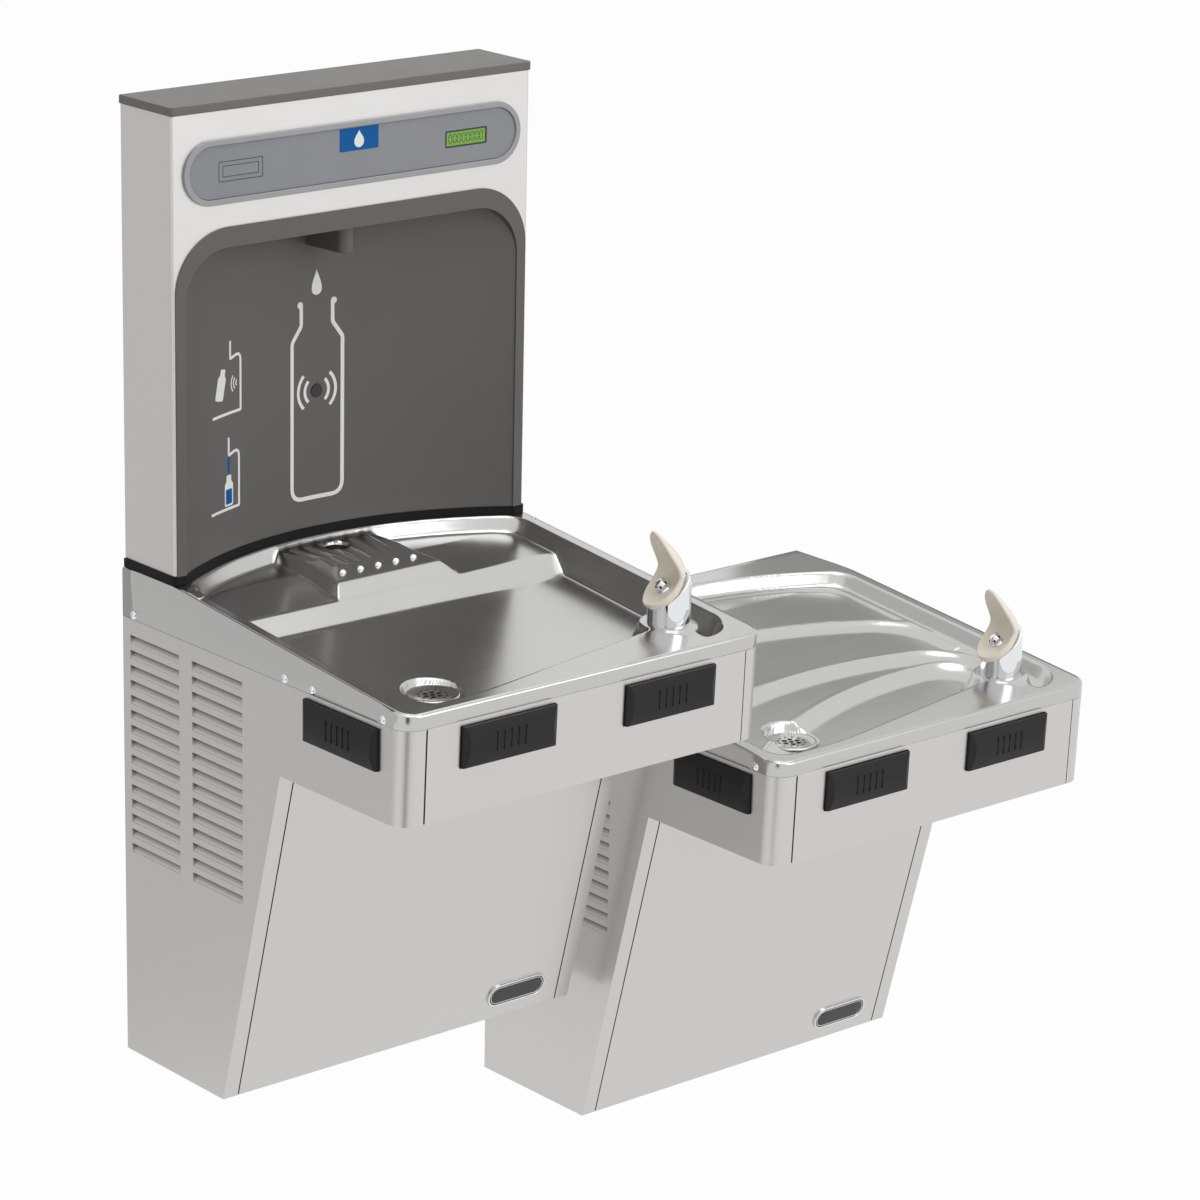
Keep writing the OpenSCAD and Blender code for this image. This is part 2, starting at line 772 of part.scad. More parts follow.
// Post that goes straight up and then bends over towards the spray
module bend(r) {
    cylinder(r = r, h = bend_z);
    translate([-bend_r, 0, bend_z]) rotate([90, 0, 0]) rotate_extrude(angle = bend_angle)
        translate([bend_r, 0]) circle(r = r);
}
module above_cut(gap) at_cut() translate([-2 * bub_r, -2 * bub_r, gap])
    cube([8 * bub_r, 4 * bub_r, 6 * bub_r]);

module bubbler_body() color("silver") {
    difference() {
        at_bubbler() difference() {
            union() {
                bend(bub_r);
                translate([0, 0, -over]) cylinder(r = bub_r, h = 2 * over);
                translate([0, 0, -over]) cylinder(r = bub_r + bub_flange, h = over + bub_flange_h);
            }
            above_cut(0);
        }
        on_rim() translate([-cab_w, -cab_d - over, -cab_h]) cube([2 * cab_w, cab_d, cab_h]);
    }
    at_bubbler() {
        translate([0, 0, -shank_l]) cylinder(r = shank_r, h = shank_l + bub_flange_h);
        translate([0, 0, -basin_t - fit - shank_nut_h - bub_r * tan(tilt)])
            cylinder(r = shank_nut_r, h = shank_nut_h, $fn = 6);
    }
}

// Hood: a shell on the post's bend, cut to a tapered front with a round tip and to a curved mouth
module hood() difference() {
    intersection() {
        difference() {
            bend(bub_r);
            bend(bub_r - hood_t);
        }
        above_cut(fit);
        rotate([90, 0, 90]) translate([0, 0, -4 * bub_r]) linear_extrude(height = 8 * bub_r) {
            polygon(concat(
                [for (p = hood_shares) [bub_r * p[1], guard_h * p[0]]],
                [for (k = [len(hood_shares) - 1 : -1 : 0])
                    [-bub_r * hood_shares[k][1], guard_h * hood_shares[k][0]]]
            ));
            translate([0, guard_h - hood_tip_r]) circle(r = hood_tip_r);
        }
    }
    translate([-hood_mouth_x, 2 * bub_r, hood_mouth_z]) rotate([90, 0, 0])
        cylinder(r = hood_mouth_r, h = 4 * bub_r);
}

// Mouth guard: a tilted dish with a scooped top, and the hood that rises from it
module bubbler_guard() color("wheat") at_bubbler() difference() {
    union() {
        at_nozzle() translate([0, 0, fit]) difference() {
            rotate_extrude() dish_outline();
            translate([0, 0, scoop_r + dish_t - scoop_deep]) sphere(r = scoop_r);
        }
        hood();
    }
    at_nozzle() translate([0, 0, -over]) cylinder(r = nozzle_stem + fit, h = 3 * over);
}
module dish_outline() {
    square([dish_r - dish_round, dish_t]);
    translate([0, dish_round]) square([dish_r, dish_t - 2 * dish_round]);
    for (z = [dish_round, dish_t - dish_round]) translate([dish_r - dish_round, z]) circle(r = dish_round);
}
module at_nozzle() at_cut() translate([bub_r / cos(cut_angle) + dish_x, 0, 0]) children();

module bubbler_nozzle() color("silver") at_bubbler() at_nozzle() {
    translate([0, 0, fit]) cylinder(r = nozzle_stem, h = dish_t);
    translate([0, 0, dish_t - scoop_deep + 4 * fit]) {
        cylinder(r = nozzle_r, h = nozzle_h - nozzle_r);
        translate([0, 0, nozzle_h - nozzle_r]) sphere(r = nozzle_r);
    }
}

// Push bar, drawn with its pad towards -y and y = 0 at the outer face of the panel
module push_bar() color("#2b2b2b") {
    bulge = bar_proud - bar_edge - bar_fall;
    pad_r = (bar_h * bar_h / 4 + bulge * bulge) / (2 * bulge);
    intersection() {
        across(bar_w) intersection() {
            translate([-bar_proud, -bar_h / 2]) square([bar_proud + sheet + fit + lip_t, bar_h]);
            translate([pad_r - bar_proud, 0]) circle(r = pad_r, $fn = 180);
        }
        translate([0, 0, -bar_h]) linear_extrude(height = 2 * bar_h) polygon([
            [-bar_w / 2, over], [-bar_w / 2, -bar_edge], [bar_bevel - bar_w / 2, -bar_proud],
            [bar_w / 2 - bar_bevel, -bar_proud], [bar_w / 2, -bar_edge], [bar_w / 2, over]
        ]);
    }
    translate([-bar_w / 2 - bar_lip, sheet + fit, -bar_h / 2 - bar_lip])
        cube([bar_w + 2 * bar_lip, lip_t, bar_h + 2 * bar_lip]);
    for (s = [-1, 1]) translate([s * pin_x, sheet + fit, -pin_down]) rotate([-90, 0, 0])
        cylinder(r = pin_r, h = pin_l);
    translate([-boss_w / 2, sheet + fit, -pin_down - boss_h / 2])
        cube([boss_w, boss_l, boss_h]);
    for (k = [0 : rib_count - 1]) translate([
        (k - (rib_count - 1) / 2) * rib_pitch - rib_w / 2, -bar_proud - rib_proud, -rib_tall / 2
    ]) cube([rib_w, bar_edge + rib_proud, rib_tall]);
}

// Bracket behind a bar: two legs on the panel, a plate with a bore for each pin, and the switch
module bar_bracket() {
    difference() {
        union() {
            translate([-bracket_half - bracket_t, bracket_y, -pin_down - bracket_h / 2])
                cube([2 * (bracket_half + bracket_t), bracket_t, bracket_h]);
            for (s = [-1, 1]) translate([
                s * (bracket_half + bracket_t / 2) - bracket_t / 2, sheet, -pin_down - bracket_h / 2
            ]) cube([bracket_t, bracket_y - sheet, bracket_h]);
        }
        for (s = [-1, 1]) translate([s * pin_x, 0, -pin_down]) rotate([-90, 0, 0])
            cylinder(r = pin_r + pin_fit, h = 3 * over);
    }
    translate([-switch_w / 2, bracket_y + bracket_t, -pin_down - switch_h / 2])
        cube([switch_w, switch_l, switch_h]);
}
module bar_switches() color("#404040") {
    for (s = [-1, 1]) {
        at_front_bar(s) bar_bracket();
        at_side_bar(s) bar_bracket();
    }
}

// Valve block on the front rail, with its tubes to the bubbler and from the supply
module valve(feed) color("goldenrod") {
    rail_top = sheet + fit + pan_t - apron_drop;
    translate([valve_x - valve_w / 2, -rail_y - valve_y, rail_top]) cube([valve_w, valve_y, valve_h]);
    tube_run([
        [valve_x, -rail_y - valve_y / 2, rail_top], [valve_x, -rail_y - valve_y / 2, -tube_up],
        [bub_x, -rail_y - valve_y / 2, -tube_up], [bub_x, -bub_y, -tube_up],
        [bub_x, -bub_y, rim_z(-bub_y) - shank_l]
    ], tube_r);
    tube_run(concat([
        [valve_x, -rail_y - valve_y / 2, tube_under - apron_drop],
        [feed_x, -rail_y - valve_y / 2, tube_under - apron_drop], [feed_x, -feed_y, tube_under - apron_drop]
    ], feed), tube_r);
}
module tall_valve() {
    valve([[feed_x, -feed_y, -feed_drop], [feed_x, 0, -feed_drop]]);
    color("goldenrod") translate([feed_x, 0, -feed_drop]) rotate([90, 0, 0])
        cylinder(r = inlet_r, h = inlet_l);
}
module low_valve() {
    low_line = line_drop - step_down;
    valve([[feed_x, -feed_y, -low_line]]);
    color("goldenrod") translate([feed_x - coupling_l, -feed_y, -low_line]) rotate([0, 90, 0])
        cylinder(r = coupling_r, h = coupling_l + coupling_r);
}

// Line from the tank, between the louvres of both side panels, to the low unit's valve
module connecting_line() color("goldenrod") {
    end_x = cab_w + unit_gap + feed_x - coupling_l;
    tube_run([
        [tank_x + tank_r, -line_y, -line_drop], [end_x - line_turn, -line_y, -line_drop],
        [end_x - line_turn, -feed_y, -line_drop], [end_x, -feed_y, -line_drop]
    ], tube_r);
}

module chiller_tank() color("lightsteelblue") translate([tank_x, -tank_y, pan_t - shelf_drop]) {
    rotate_extrude() polygon([
        [0, 0], [tank_r, 0], [tank_r, tank_h - tank_r / 4], [tank_r * 3 / 4, tank_h], [0, tank_h]
    ]);
    for (s = [-1, 1]) translate([s * tank_r / 3, 0, tank_h]) cylinder(r = tube_r, h = over);
}

module compressor() color("#252525") translate([comp_x, -comp_y, sheet + pan_t - cab_h]) {
    translate([0, 0, comp_foot_h]) rotate_extrude() intersection() {
        union() {
            translate([0, comp_r / 2]) square([comp_r, comp_h - comp_r]);
            for (z = [comp_r / 2, comp_h - comp_r / 2]) {
                translate([comp_r / 2, z]) circle(r = comp_r / 2);
                translate([0, z - comp_r / 2]) square([comp_r / 2, comp_r]);
            }
        }
        square([comp_r, comp_h]);
    }
    for (x = [-1, 1], y = [-1, 1]) translate([x * comp_foot_at, y * comp_foot_at, 0]) {
        cylinder(r = comp_foot_r, h = comp_foot_h + pan_t);
        rotate([0, 0, atan2(-y, -x)]) translate([0, -comp_foot_r * 2 / 3, comp_foot_h])
            cube([comp_foot_at, comp_foot_r * 4 / 3, 2 * pan_t]);
    }
    translate([comp_r - over / 2, -over, comp_h / 2]) cube([over + pan_t, 2 * over, 2 * over]);
}

// Condenser: fins on rows of tube between two end plates that stand on the base pan
module condenser() color("slategray") {
    for (k = [0 : coil_fins - 1]) {
        y = coil_y0 + (k + 0.5) * (coil_y1 - coil_y0) / coil_fins;
        translate([coil_x, -y - fin_t / 2, -coil_z1]) cube([coil_t, fin_t, coil_z1 - coil_z0]);
    }
    for (y = [coil_y0, coil_y1]) translate([coil_x, -y, sheet + pan_t - cab_h])
        cube([coil_t, coil_plate, cab_h - sheet - pan_t - coil_z0]);
    row_pitch = (coil_z1 - coil_z0) / coil_rows;
    for (row = [0 : coil_rows - 1], x = [1, 3])
        translate([coil_x + x * coil_t / 4, -coil_y0, -coil_z0 - (row + 0.5) * row_pitch])
        rotate([90, 0, 0]) cylinder(r = coil_tube_r, h = coil_y1 - coil_y0);
}

shroud_x = coil_x + coil_t;
fan_y = (coil_y0 + coil_y1) / 2;
fan_z = (coil_z0 + coil_z1) / 2;
module at_fan() translate([shroud_x, -fan_y, -fan_z]) rotate([0, 90, 0]) children();

module fan_shroud() color("gainsboro") at_fan() {
    high = coil_z1 - coil_z0;
    deep = coil_y1 - coil_y0;
    difference() {
        translate([-high / 2, -deep / 2, 0]) cube([high, deep, shroud_wall]);
        translate([0, 0, -over]) cylinder(r = fan_r + fan_gap, h = 2 * over);
    }
    difference() {
        cylinder(r = fan_r + fan_gap + shroud_wall, h = shroud_t + shroud_wall);
        translate([0, 0, -over]) cylinder(r = fan_r + fan_gap, h = shroud_t + 2 * over);
    }
    difference() {
        ring = fan_r + fan_gap + shroud_wall / 2;
        for (a = [45, 135]) rotate([0, 0, a]) translate([-ring, -arm_w / 2, shroud_t])
            cube([2 * ring, arm_w, shroud_wall]);
        cylinder(r = fan_hub_r - over / 2, h = shroud_t + over);
    }
}

module fan_motor() color("#303030") at_fan() translate([0, 0, shroud_t + shroud_wall]) difference() {
    union() {
        cylinder(r = motor_r, h = motor_l - motor_r / 4);
        cylinder(r = motor_r * 3 / 4, h = motor_l);
    }
    translate([0, 0, -over]) cylinder(r = shaft_r + shaft_fit, h = over + shaft_l);
}

module fan() color("black") at_fan() {
    translate([0, 0, fan_gap - sheet]) cylinder(r = fan_hub_r, h = fan_hub_l - fan_gap);
    translate([0, 0, fan_gap]) cylinder(r = shaft_r, h = shroud_t + shroud_wall + shaft_l - 2 * fan_gap);
    for (k = [0 : fan_blades - 1]) rotate([0, 0, k * 360 / fan_blades]) intersection() {
        translate([fan_hub_r - blade_t, 0, fan_hub_l / 2 + sheet]) rotate([blade_pitch, 0, 0])
            translate([0, -blade_w / 2, -blade_t / 2]) cube([fan_r, blade_w, blade_t]);
        cylinder(r = fan_r, h = shroud_t - sheet);
    }
}

// Outline of the alcove in front view: straight sides and rounded upper corners, moved in by s and h
module alcove_front(side, head, r) {
    half = surround_w / 2 - side;
    top = surround_top - head;
    translate([-half, gasket_h]) square([2 * half, top - r - gasket_h]);
    translate([r - half, gasket_h]) square([2 * (half - r), top - gasket_h]);
    for (s = [-1, 1]) translate([s * (half - r), top - r]) circle(r = r);
}
// Plan of the alcove: in front of its curved back, moved in by o
module alcove_plan(o) intersection() {
    translate([0, -arc_back - arc_r]) circle(r = arc_r - o, $fn = 180);
    translate([-fill_w / 2, -flat_d - 2 * over]) square([fill_w, flat_d + 2 * over]);
}
// Space in the alcove, grown by g
module alcove_space(g) intersection() {
    translate([0, 0, gasket_h - over]) linear_extrude(height = fill_h) alcove_plan(-g);
    translate([0, over, 0]) forward(flat_d + 3 * over) union() {
        alcove_front(surround_side - g, surround_head - g, surround_r - surround_side + g);
        translate([surround_side - g - surround_w / 2, gasket_h - over])
            square([surround_w - 2 * (surround_side - g), 2 * over]);
    }
}

module alcove_liner() color("#5b5957") difference() {
    union() {
        translate([0, -flat_d, 0]) forward(surround_t) alcove_front(0, 0, surround_r);
        intersection() {
            alcove_space(liner_t);
            translate([-fill_w / 2, -flat_d, gasket_h]) cube([fill_w, flat_d, fill_h]);
        }
    }
    alcove_space(0);
    translate([0, over, sensor_z]) rotate([90, 0, 0]) cylinder(r = sensor_r + fit, h = 5 * over);
    translate([0, -spout_d + spout_tip_half, surround_top - surround_head - over])
        cylinder(r = tube_r + fit, h = 2 * over);
}

module filler_case() color("whitesmoke") difference() {
    translate([0, 0, gasket_h]) linear_extrude(height = fill_h - gasket_h) difference() {
        front_rounded(fill_w / 2, flat_d, case_r, 0);
        front_rounded(fill_w / 2 - sheet, flat_d - sheet, case_r - sheet, over);
    }
    translate([0, over, 0]) alcove_case_cut();
    translate([0, over - flat_d, label_z]) forward(2 * over) pill(label_w - bezel_w, label_h - bezel_w);
}
// The case is cut away behind the alcove's surround
module alcove_case_cut() forward(flat_d + 2 * over) union() {
    wall = liner_t + fit;
    alcove_front(surround_side - wall, surround_head - wall, surround_r - surround_side + wall);
    translate([surround_side - wall - surround_w / 2, gasket_h - over])
        square([surround_w - 2 * (surround_side - wall), 2 * over]);
}

module filler_cap() color("#7a7974") {
    translate([0, 0, fill_h]) linear_extrude(height = cap_t)
        front_rounded(fill_w / 2 + cap_over, flat_d + cap_over, case_r + cap_over, 0);
    translate([0, 0, fill_h - cap_lip]) linear_extrude(height = cap_lip) difference() {
        front_rounded(fill_w / 2 - sheet - fit, flat_d - sheet - fit, case_r - sheet, -back_t - fit);
        front_rounded(fill_w / 2 - sheet - fit - cap_over, flat_d - sheet - fit - cap_over, case_r - sheet,
            -back_t - fit - cap_over);
    }
}

module filler_back() color("gainsboro") difference() {
    translate([sheet + fit - fill_w / 2, -back_t, gasket_h])
        cube([fill_w - 2 * (sheet + fit), back_t, fill_h - gasket_h - cap_lip - fit]);
    for (x = [-1, 1], z = [-1, 1])
        translate([x * fill_bolt_x / 2, over, (gasket_h + fill_h) / 2 + z * fill_bolt_z / 2])
        rotate([90, 0, 0]) cylinder(r = fill_bolt_r, h = 2 * over);
}

module filler_gasket() color("#1c1c1c") linear_extrude(height = gasket_h) difference() {
    front_rounded(fill_w / 2 + gasket_out, flat_d + gasket_out, case_r + gasket_out, 0);
    intersection() {
        translate([0, -arc_back - arc_r]) circle(r = arc_r - gasket_in, $fn = 180);
        translate([surround_side - gasket_in - surround_w / 2, -flat_d - over])
            square([surround_w - 2 * (surround_side - gasket_in), flat_d + over]);
    }
}

// Hooded spout under the roof of the alcove, tapering to the front
module spout() color("#5b5957") difference() {
    intersection() {
        alcove_space(0);
        translate([0, 0, surround_top - surround_head - spout_h]) linear_extrude(height = spout_h + fit)
            spout_plan();
    }
    translate([0, spout_tip_half - spout_d, surround_top - surround_head - spout_h - over])
        cylinder(r = spout_bore_r, h = over + spout_h + over);
}
module spout_plan() {
    polygon([
        [-spout_half, 0], [-spout_tip_half, spout_tip_half - spout_d],
        [spout_tip_half, spout_tip_half - spout_d], [spout_half, 0]
    ]);
    translate([0, spout_tip_half - spout_d]) circle(r = spout_tip_half);
}

module sensor_lens() color("black") translate([0, -arc_back, sensor_z]) rotate([90, 0, 0]) {
    translate([0, 0, -liner_t - sensor_t]) cylinder(r = sensor_r, h = liner_t + sensor_t * 3 / 2);
    translate([0, 0, -liner_t - sensor_t - fit]) cylinder(r = sensor_r + sensor_t, h = sensor_t);
}

module label_bezel() color("#8a8a88") translate([0, -flat_d, label_z]) forward(bezel_t) difference() {
    pill(label_w, label_h);
    pill(label_w - 2 * bezel_w, label_h - 2 * bezel_w);
}
module label_panel() color("#8c8f96") translate([0, -flat_d, label_z]) forward(panel_t) difference() {
    pill(label_w - 2 * bezel_w - 2 * fit, label_h - 2 * bezel_w - 2 * fit);
    translate([lcd_x, 0]) square([lcd_w + 2 * fit, lcd_h + 2 * fit], center = true);
}
module display() color("#7fa04a") translate([lcd_x, -flat_d, label_z]) forward(lcd_t)
    square([lcd_w, lcd_h], center = true);

// Solenoid valve over the roof of the alcove, with its tube down into the spout
module solenoid_valve() color("dimgray") {
    roof = surround_top - surround_head + liner_t;
    translate([solenoid_x, -solenoid_d - back_t, roof + fit]) {
        translate([-solenoid_w / 2, 0, 0]) cube([solenoid_w, solenoid_d, solenoid_h / 2]);
        translate([0, solenoid_d / 2, solenoid_h / 2]) cylinder(r = coil_can_r, h = solenoid_h / 2);
    }
    tube_run([
        [solenoid_x - solenoid_w / 2, -back_t - solenoid_d / 2, roof + solenoid_h / 4],
        [0, -back_t - solenoid_d / 2, roof + solenoid_h / 4],
        [0, spout_tip_half - spout_d, roof + solenoid_h / 4],
        [0, spout_tip_half - spout_d, roof - over - liner_t]
    ], tube_r);
}
module control_box() color("#e0e0e0") translate([box_x - box_w / 2, -box_d - back_t, surround_top])
    cube([box_w, box_d, box_h]);

module badge_plates() color("#b8b8b4") {
    tall() badge();
    low() badge();
}
module unit_screws() for (k = [0 : len(screw_shares) - 1]) at_screw(k) {
    cylinder(r = screw_r, h = screw_l);
    intersection() {
        translate([0, 0, (screw_head_r * screw_head_r - screw_head_h * screw_head_h) / (2 * screw_head_h)])
            sphere(r = (screw_head_r * screw_head_r + screw_head_h * screw_head_h) / (2 * screw_head_h));
        translate([0, 0, -over]) cylinder(r = screw_head_r + fit, h = over);
    }
}
module case_screws() color("silver") {
    tall() { unit_screws(); mirrored() unit_screws(); }
    low() { unit_screws(); mirrored() unit_screws(); }
}

tall() color("silver") side_panel(0);  // tall_side_left
tall() mirrored() color("silver") side_panel(line_drop);  // tall_side_right
tall() apron();  // tall_apron
tall() lower_panel();  // tall_lower_panel
tall() chassis(true);  // tall_chassis
tall() back_panel();  // tall_back_panel
tall() tall_basin();
tall() strainer();  // tall_strainer
tall() waste_pipe();  // tall_waste_pipe
tall() bubbler_body();  // tall_bubbler_body
tall() bubbler_guard();  // tall_bubbler_guard
tall() bubbler_nozzle();  // tall_bubbler_nozzle
tall() at_front_bar(-1) push_bar();  // tall_bar_front_left
tall() at_front_bar(1) push_bar();  // tall_bar_front_right
tall() at_side_bar(-1) push_bar();  // tall_bar_side_left
tall() at_side_bar(1) push_bar();  // tall_bar_side_right
tall() bar_switches();  // tall_bar_switches
tall() tall_valve();
low() color("silver") side_panel(line_drop - step_down);  // low_side_left
low() mirrored() color("silver") side_panel(0);  // low_side_right
low() apron();  // low_apron
low() lower_panel();  // low_lower_panel
low() chassis(false);  // low_chassis
low() back_panel();  // low_back_panel
low() basin_sheet(true);  // low_basin
low() strainer();  // low_strainer
low() waste_pipe();  // low_waste_pipe
low() bubbler_body();  // low_bubbler_body
low() bubbler_guard();  // low_bubbler_guard
low() bubbler_nozzle();  // low_bubbler_nozzle
low() at_front_bar(-1) push_bar();  // low_bar_front_left
low() at_front_bar(1) push_bar();  // low_bar_front_right
low() at_side_bar(-1) push_bar();  // low_bar_side_left
low() at_side_bar(1) push_bar();  // low_bar_side_right
low() bar_switches();  // low_bar_switches
low() low_valve();
tall() compressor();
tall() condenser();
tall() fan_shroud();
tall() fan();
tall() fan_motor();
tall() chiller_tank();
tall() connecting_line();
tall() filler_case();
tall() filler_cap();
tall() filler_back();
tall() filler_gasket();
tall() alcove_liner();
tall() spout();
tall() sensor_lens();
tall() label_bezel();
tall() label_panel();
tall() display();
tall() solenoid_valve();
tall() control_box();
tall() hanger();  // tall_hanger
low() hanger();  // low_hanger
badge_plates();
case_screws();
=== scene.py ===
"""Wall-hung drinking fountains at two heights, with a bottle filler on the tall one.

Metres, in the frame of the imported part: X along the wall, Y into the wall, Z up.
The two cabinets are the same, so most pieces are made once in a cabinet's own frame, with z = 0
at its flat top next to the wall, and are then placed for the tall and for the low unit.
"""

import json
import math

import bmesh
import bpy
import numpy as np
from mathutils import Matrix, Vector


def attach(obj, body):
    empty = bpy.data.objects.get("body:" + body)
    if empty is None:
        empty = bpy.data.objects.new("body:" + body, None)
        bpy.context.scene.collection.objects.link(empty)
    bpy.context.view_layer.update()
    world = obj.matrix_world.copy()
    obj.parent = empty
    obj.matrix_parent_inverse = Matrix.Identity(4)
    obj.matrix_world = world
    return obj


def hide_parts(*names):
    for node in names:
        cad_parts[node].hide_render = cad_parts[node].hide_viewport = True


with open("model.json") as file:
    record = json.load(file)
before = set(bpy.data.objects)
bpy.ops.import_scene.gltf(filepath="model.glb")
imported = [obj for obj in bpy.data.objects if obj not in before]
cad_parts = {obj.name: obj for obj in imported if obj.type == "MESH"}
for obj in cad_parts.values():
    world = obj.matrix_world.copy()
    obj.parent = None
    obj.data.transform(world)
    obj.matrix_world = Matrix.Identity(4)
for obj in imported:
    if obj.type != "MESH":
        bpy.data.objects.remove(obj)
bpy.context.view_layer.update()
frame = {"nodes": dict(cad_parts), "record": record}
scene = bpy.context.scene

# Sizes, in metres
CAB_W, CAB_D, CAB_H = 0.467, 0.476, 0.537
FLAT_D, RIM_FALL = 0.088, 0.037
APRON_DROP, KNEE_D, FOOT_D = 0.1525, 0.273, 0.174
SKIRT_DROP, LEAN_IN, CORNER_R = 0.053, 0.0045, 0.022
TILT = math.atan(RIM_FALL / (CAB_D - FLAT_D))
HANG_DROP, STEP_DOWN, UNIT_GAP = 0.065, 0.1524, 0.026
UNITS = {"tall": (0.0, 0.0, HANG_DROP), "low": (CAB_W + UNIT_GAP, 0.0, HANG_DROP - STEP_DOWN)}


# Materials
class Wire:
    """A shader value; arithmetic on it adds Math nodes to the finish that it belongs to."""

    def __init__(self, finish, socket):
        self.finish, self.socket = finish, socket

    def _math(self, operation, *values):
        return self.finish.node("ShaderNodeMath", {"operation": operation}, *values)

    def __add__(self, other): return self._math("ADD", self, other)
    def __radd__(self, other): return self._math("ADD", other, self)
    def __sub__(self, other): return self._math("SUBTRACT", self, other)
    def __rsub__(self, other): return self._math("SUBTRACT", other, self)
    def __mul__(self, other): return self._math("MULTIPLY", self, other)
    def __rmul__(self, other): return self._math("MULTIPLY", other, self)
    def __gt__(self, other): return self._math("GREATER_THAN", self, other)
    def __lt__(self, other): return self._math("LESS_THAN", self, other)
    def clamp(self): return self.finish.node("ShaderNodeClamp", {}, self)


class Finish:
    """A material built from nodes; one Principled shader takes what varies over the surface."""

    def __init__(self, name, color, roughness, metallic=0.0, **constants):
        self.material = bpy.data.materials.new(name)
        self.material.use_nodes = True
        self.tree = self.material.node_tree
        self.shader = self.tree.nodes["Principled BSDF"]
        self.set("Base Color", (*color, 1.0))
        self.set("Roughness", roughness)
        self.set("Metallic", metallic)
        for socket, value in constants.items():
            self.set(socket.replace("_", " ").title().replace("Ior", "IOR"), value)

    def feed(self, socket, value):
        """Links a shader value to a socket, or gives the socket a constant."""
        if isinstance(value, Wire):
            self.tree.links.new(value.socket, socket)
        elif value is not None:
            socket.default_value = value

    def node(self, kind, settings, *values, out=0):
        """Adds a node of a type: its settings first, then the values or links of its sockets."""
        made = self.tree.nodes.new(kind)
        for key, value in settings.items():
            setattr(made, key, value)
        for socket, value in zip(made.inputs, values):
            self.feed(socket, value)
        return Wire(self, made.outputs[out])

    def set(self, socket, value):
        """Gives the shader a constant, or links what varies."""
        self.feed(self.shader.inputs[socket], value)

    def place(self):
        """Where a point is on the part, from Object coordinates: (vector, x, y, z)."""
        where = self.node("ShaderNodeTexCoord", {}, out=3)
        split = self.tree.nodes.new("ShaderNodeSeparateXYZ")
        self.feed(split.inputs[0], where)
        return (where, *(Wire(self, s) for s in split.outputs))

    def stretched(self, scale):
        """Object coordinates stretched by a factor along each axis."""
        where = self.place()[0]
        return self.node("ShaderNodeMapping", {}, where, None, None, scale)

    def noise(self, vector, scale, detail=4.0, rough=0.5):
        """Fractal noise between 0 and 1, at a scale in waves per metre."""
        return self.node("ShaderNodeTexNoise", {}, vector, None, scale, detail, rough)

    def blend(self, share, first, second):
        """A mix of two colours by a share that may vary."""
        made = self.tree.nodes.new("ShaderNodeMix")
        made.data_type = "RGBA"
        for socket, value in ((made.inputs[0], share), (made.inputs[6], first), (made.inputs[7], second)):
            self.feed(socket, (*value, 1.0) if isinstance(value, tuple) else value)
        return Wire(self, made.outputs[2])

    def bump(self, height, strength, distance):
        """Tilts the shading normal by a height that varies, over a distance in metres."""
        made = self.tree.nodes.new("ShaderNodeBump")
        made.inputs["Strength"].default_value = strength
        made.inputs["Distance"].default_value = distance
        self.feed(made.inputs["Height"], height)
        self.set("Normal", Wire(self, made.outputs[0]))


def shade(color, factor):
    """A colour made darker or lighter by a factor."""
    return tuple(c * factor for c in color)


# Where the louvres end along the side, and how far below the flat top they start and stop
LOUVRE_END, LOUVRE_FOOT, LOUVRE_TOP = 0.2105, 0.322, 0.066
# The side's sheet, and the depth behind its face over which the louvres' painted shade grows to its darkest
PANEL_SHEET, LOUVRE_SHADE_DEPTH = 0.0012, 0.0042


def brushed(name, color, roughness, grain, depth=0.00002, unit=None):
    """Stainless sheet: fine streaks drawn out along one axis, and cloudy patches of roughness. With a unit,
    painted shade darkens the louvres' blades with their depth behind the side's face, standing for the shade
    inside the cabinet."""
    f = Finish(name, color, roughness, 1.0)
    streak = f.noise(f.stretched(grain), 1.0, 6.0, 0.6)
    cloud = f.noise(f.place()[0], 9.0, 3.0)
    tone = (streak - 0.5) * 0.30 + (cloud - 0.5) * 0.12 + 0.5
    steel = f.blend(tone.clamp(), shade(color, 0.90), shade(color, 1.08))
    if unit:
        # Painted shade: in the louvres' column the colour goes almost black with depth behind the side's face
        _, x, y, z = f.place()
        ux, _, uz = UNITS[unit]
        inward = CAB_W / 2 - PANEL_SHEET - f.node("ShaderNodeMath", {"operation": "ABSOLUTE"}, x - ux)
        column = (y > -LOUVRE_END) * (z > uz - LOUVRE_FOOT) * (z < uz - LOUVRE_TOP)
        steel = f.blend((inward * (1 / LOUVRE_SHADE_DEPTH)).clamp() * column * 0.9, steel, (0.012, 0.012, 0.012))
    f.set("Base Color", steel)
    f.set("Roughness", (roughness + (streak - 0.5) * 0.14 + (cloud - 0.5) * 0.10).clamp())
    f.bump(streak, 0.25, depth)
    return f.material


def moulded(name, color, roughness, grain=900.0, depth=0.00004, **constants):
    """Moulded plastic: a fine even texture, with slight wear in its gloss."""
    f = Finish(name, color, roughness, 0.0, **constants)
    fine = f.noise(f.place()[0], grain, 3.0, 0.6)
    patch = f.noise(f.place()[0], 14.0, 3.0)
    f.set("Base Color", f.blend(patch, shade(color, 0.94), shade(color, 1.06)))
    f.set("Roughness", (roughness + (patch - 0.5) * 0.16 + (fine - 0.5) * 0.10).clamp())
    f.bump(fine, 0.35, depth)
    return f.material


def plated(name, color, roughness):
    """Polished plating, with a trace of haze."""
    f = Finish(name, color, roughness, 1.0)
    haze = f.noise(f.place()[0], 60.0, 4.0)
    f.set("Roughness", (roughness + (haze - 0.5) * 0.05).clamp())
    f.set("Base Color", f.blend(haze, shade(color, 0.97), color))
    return f.material


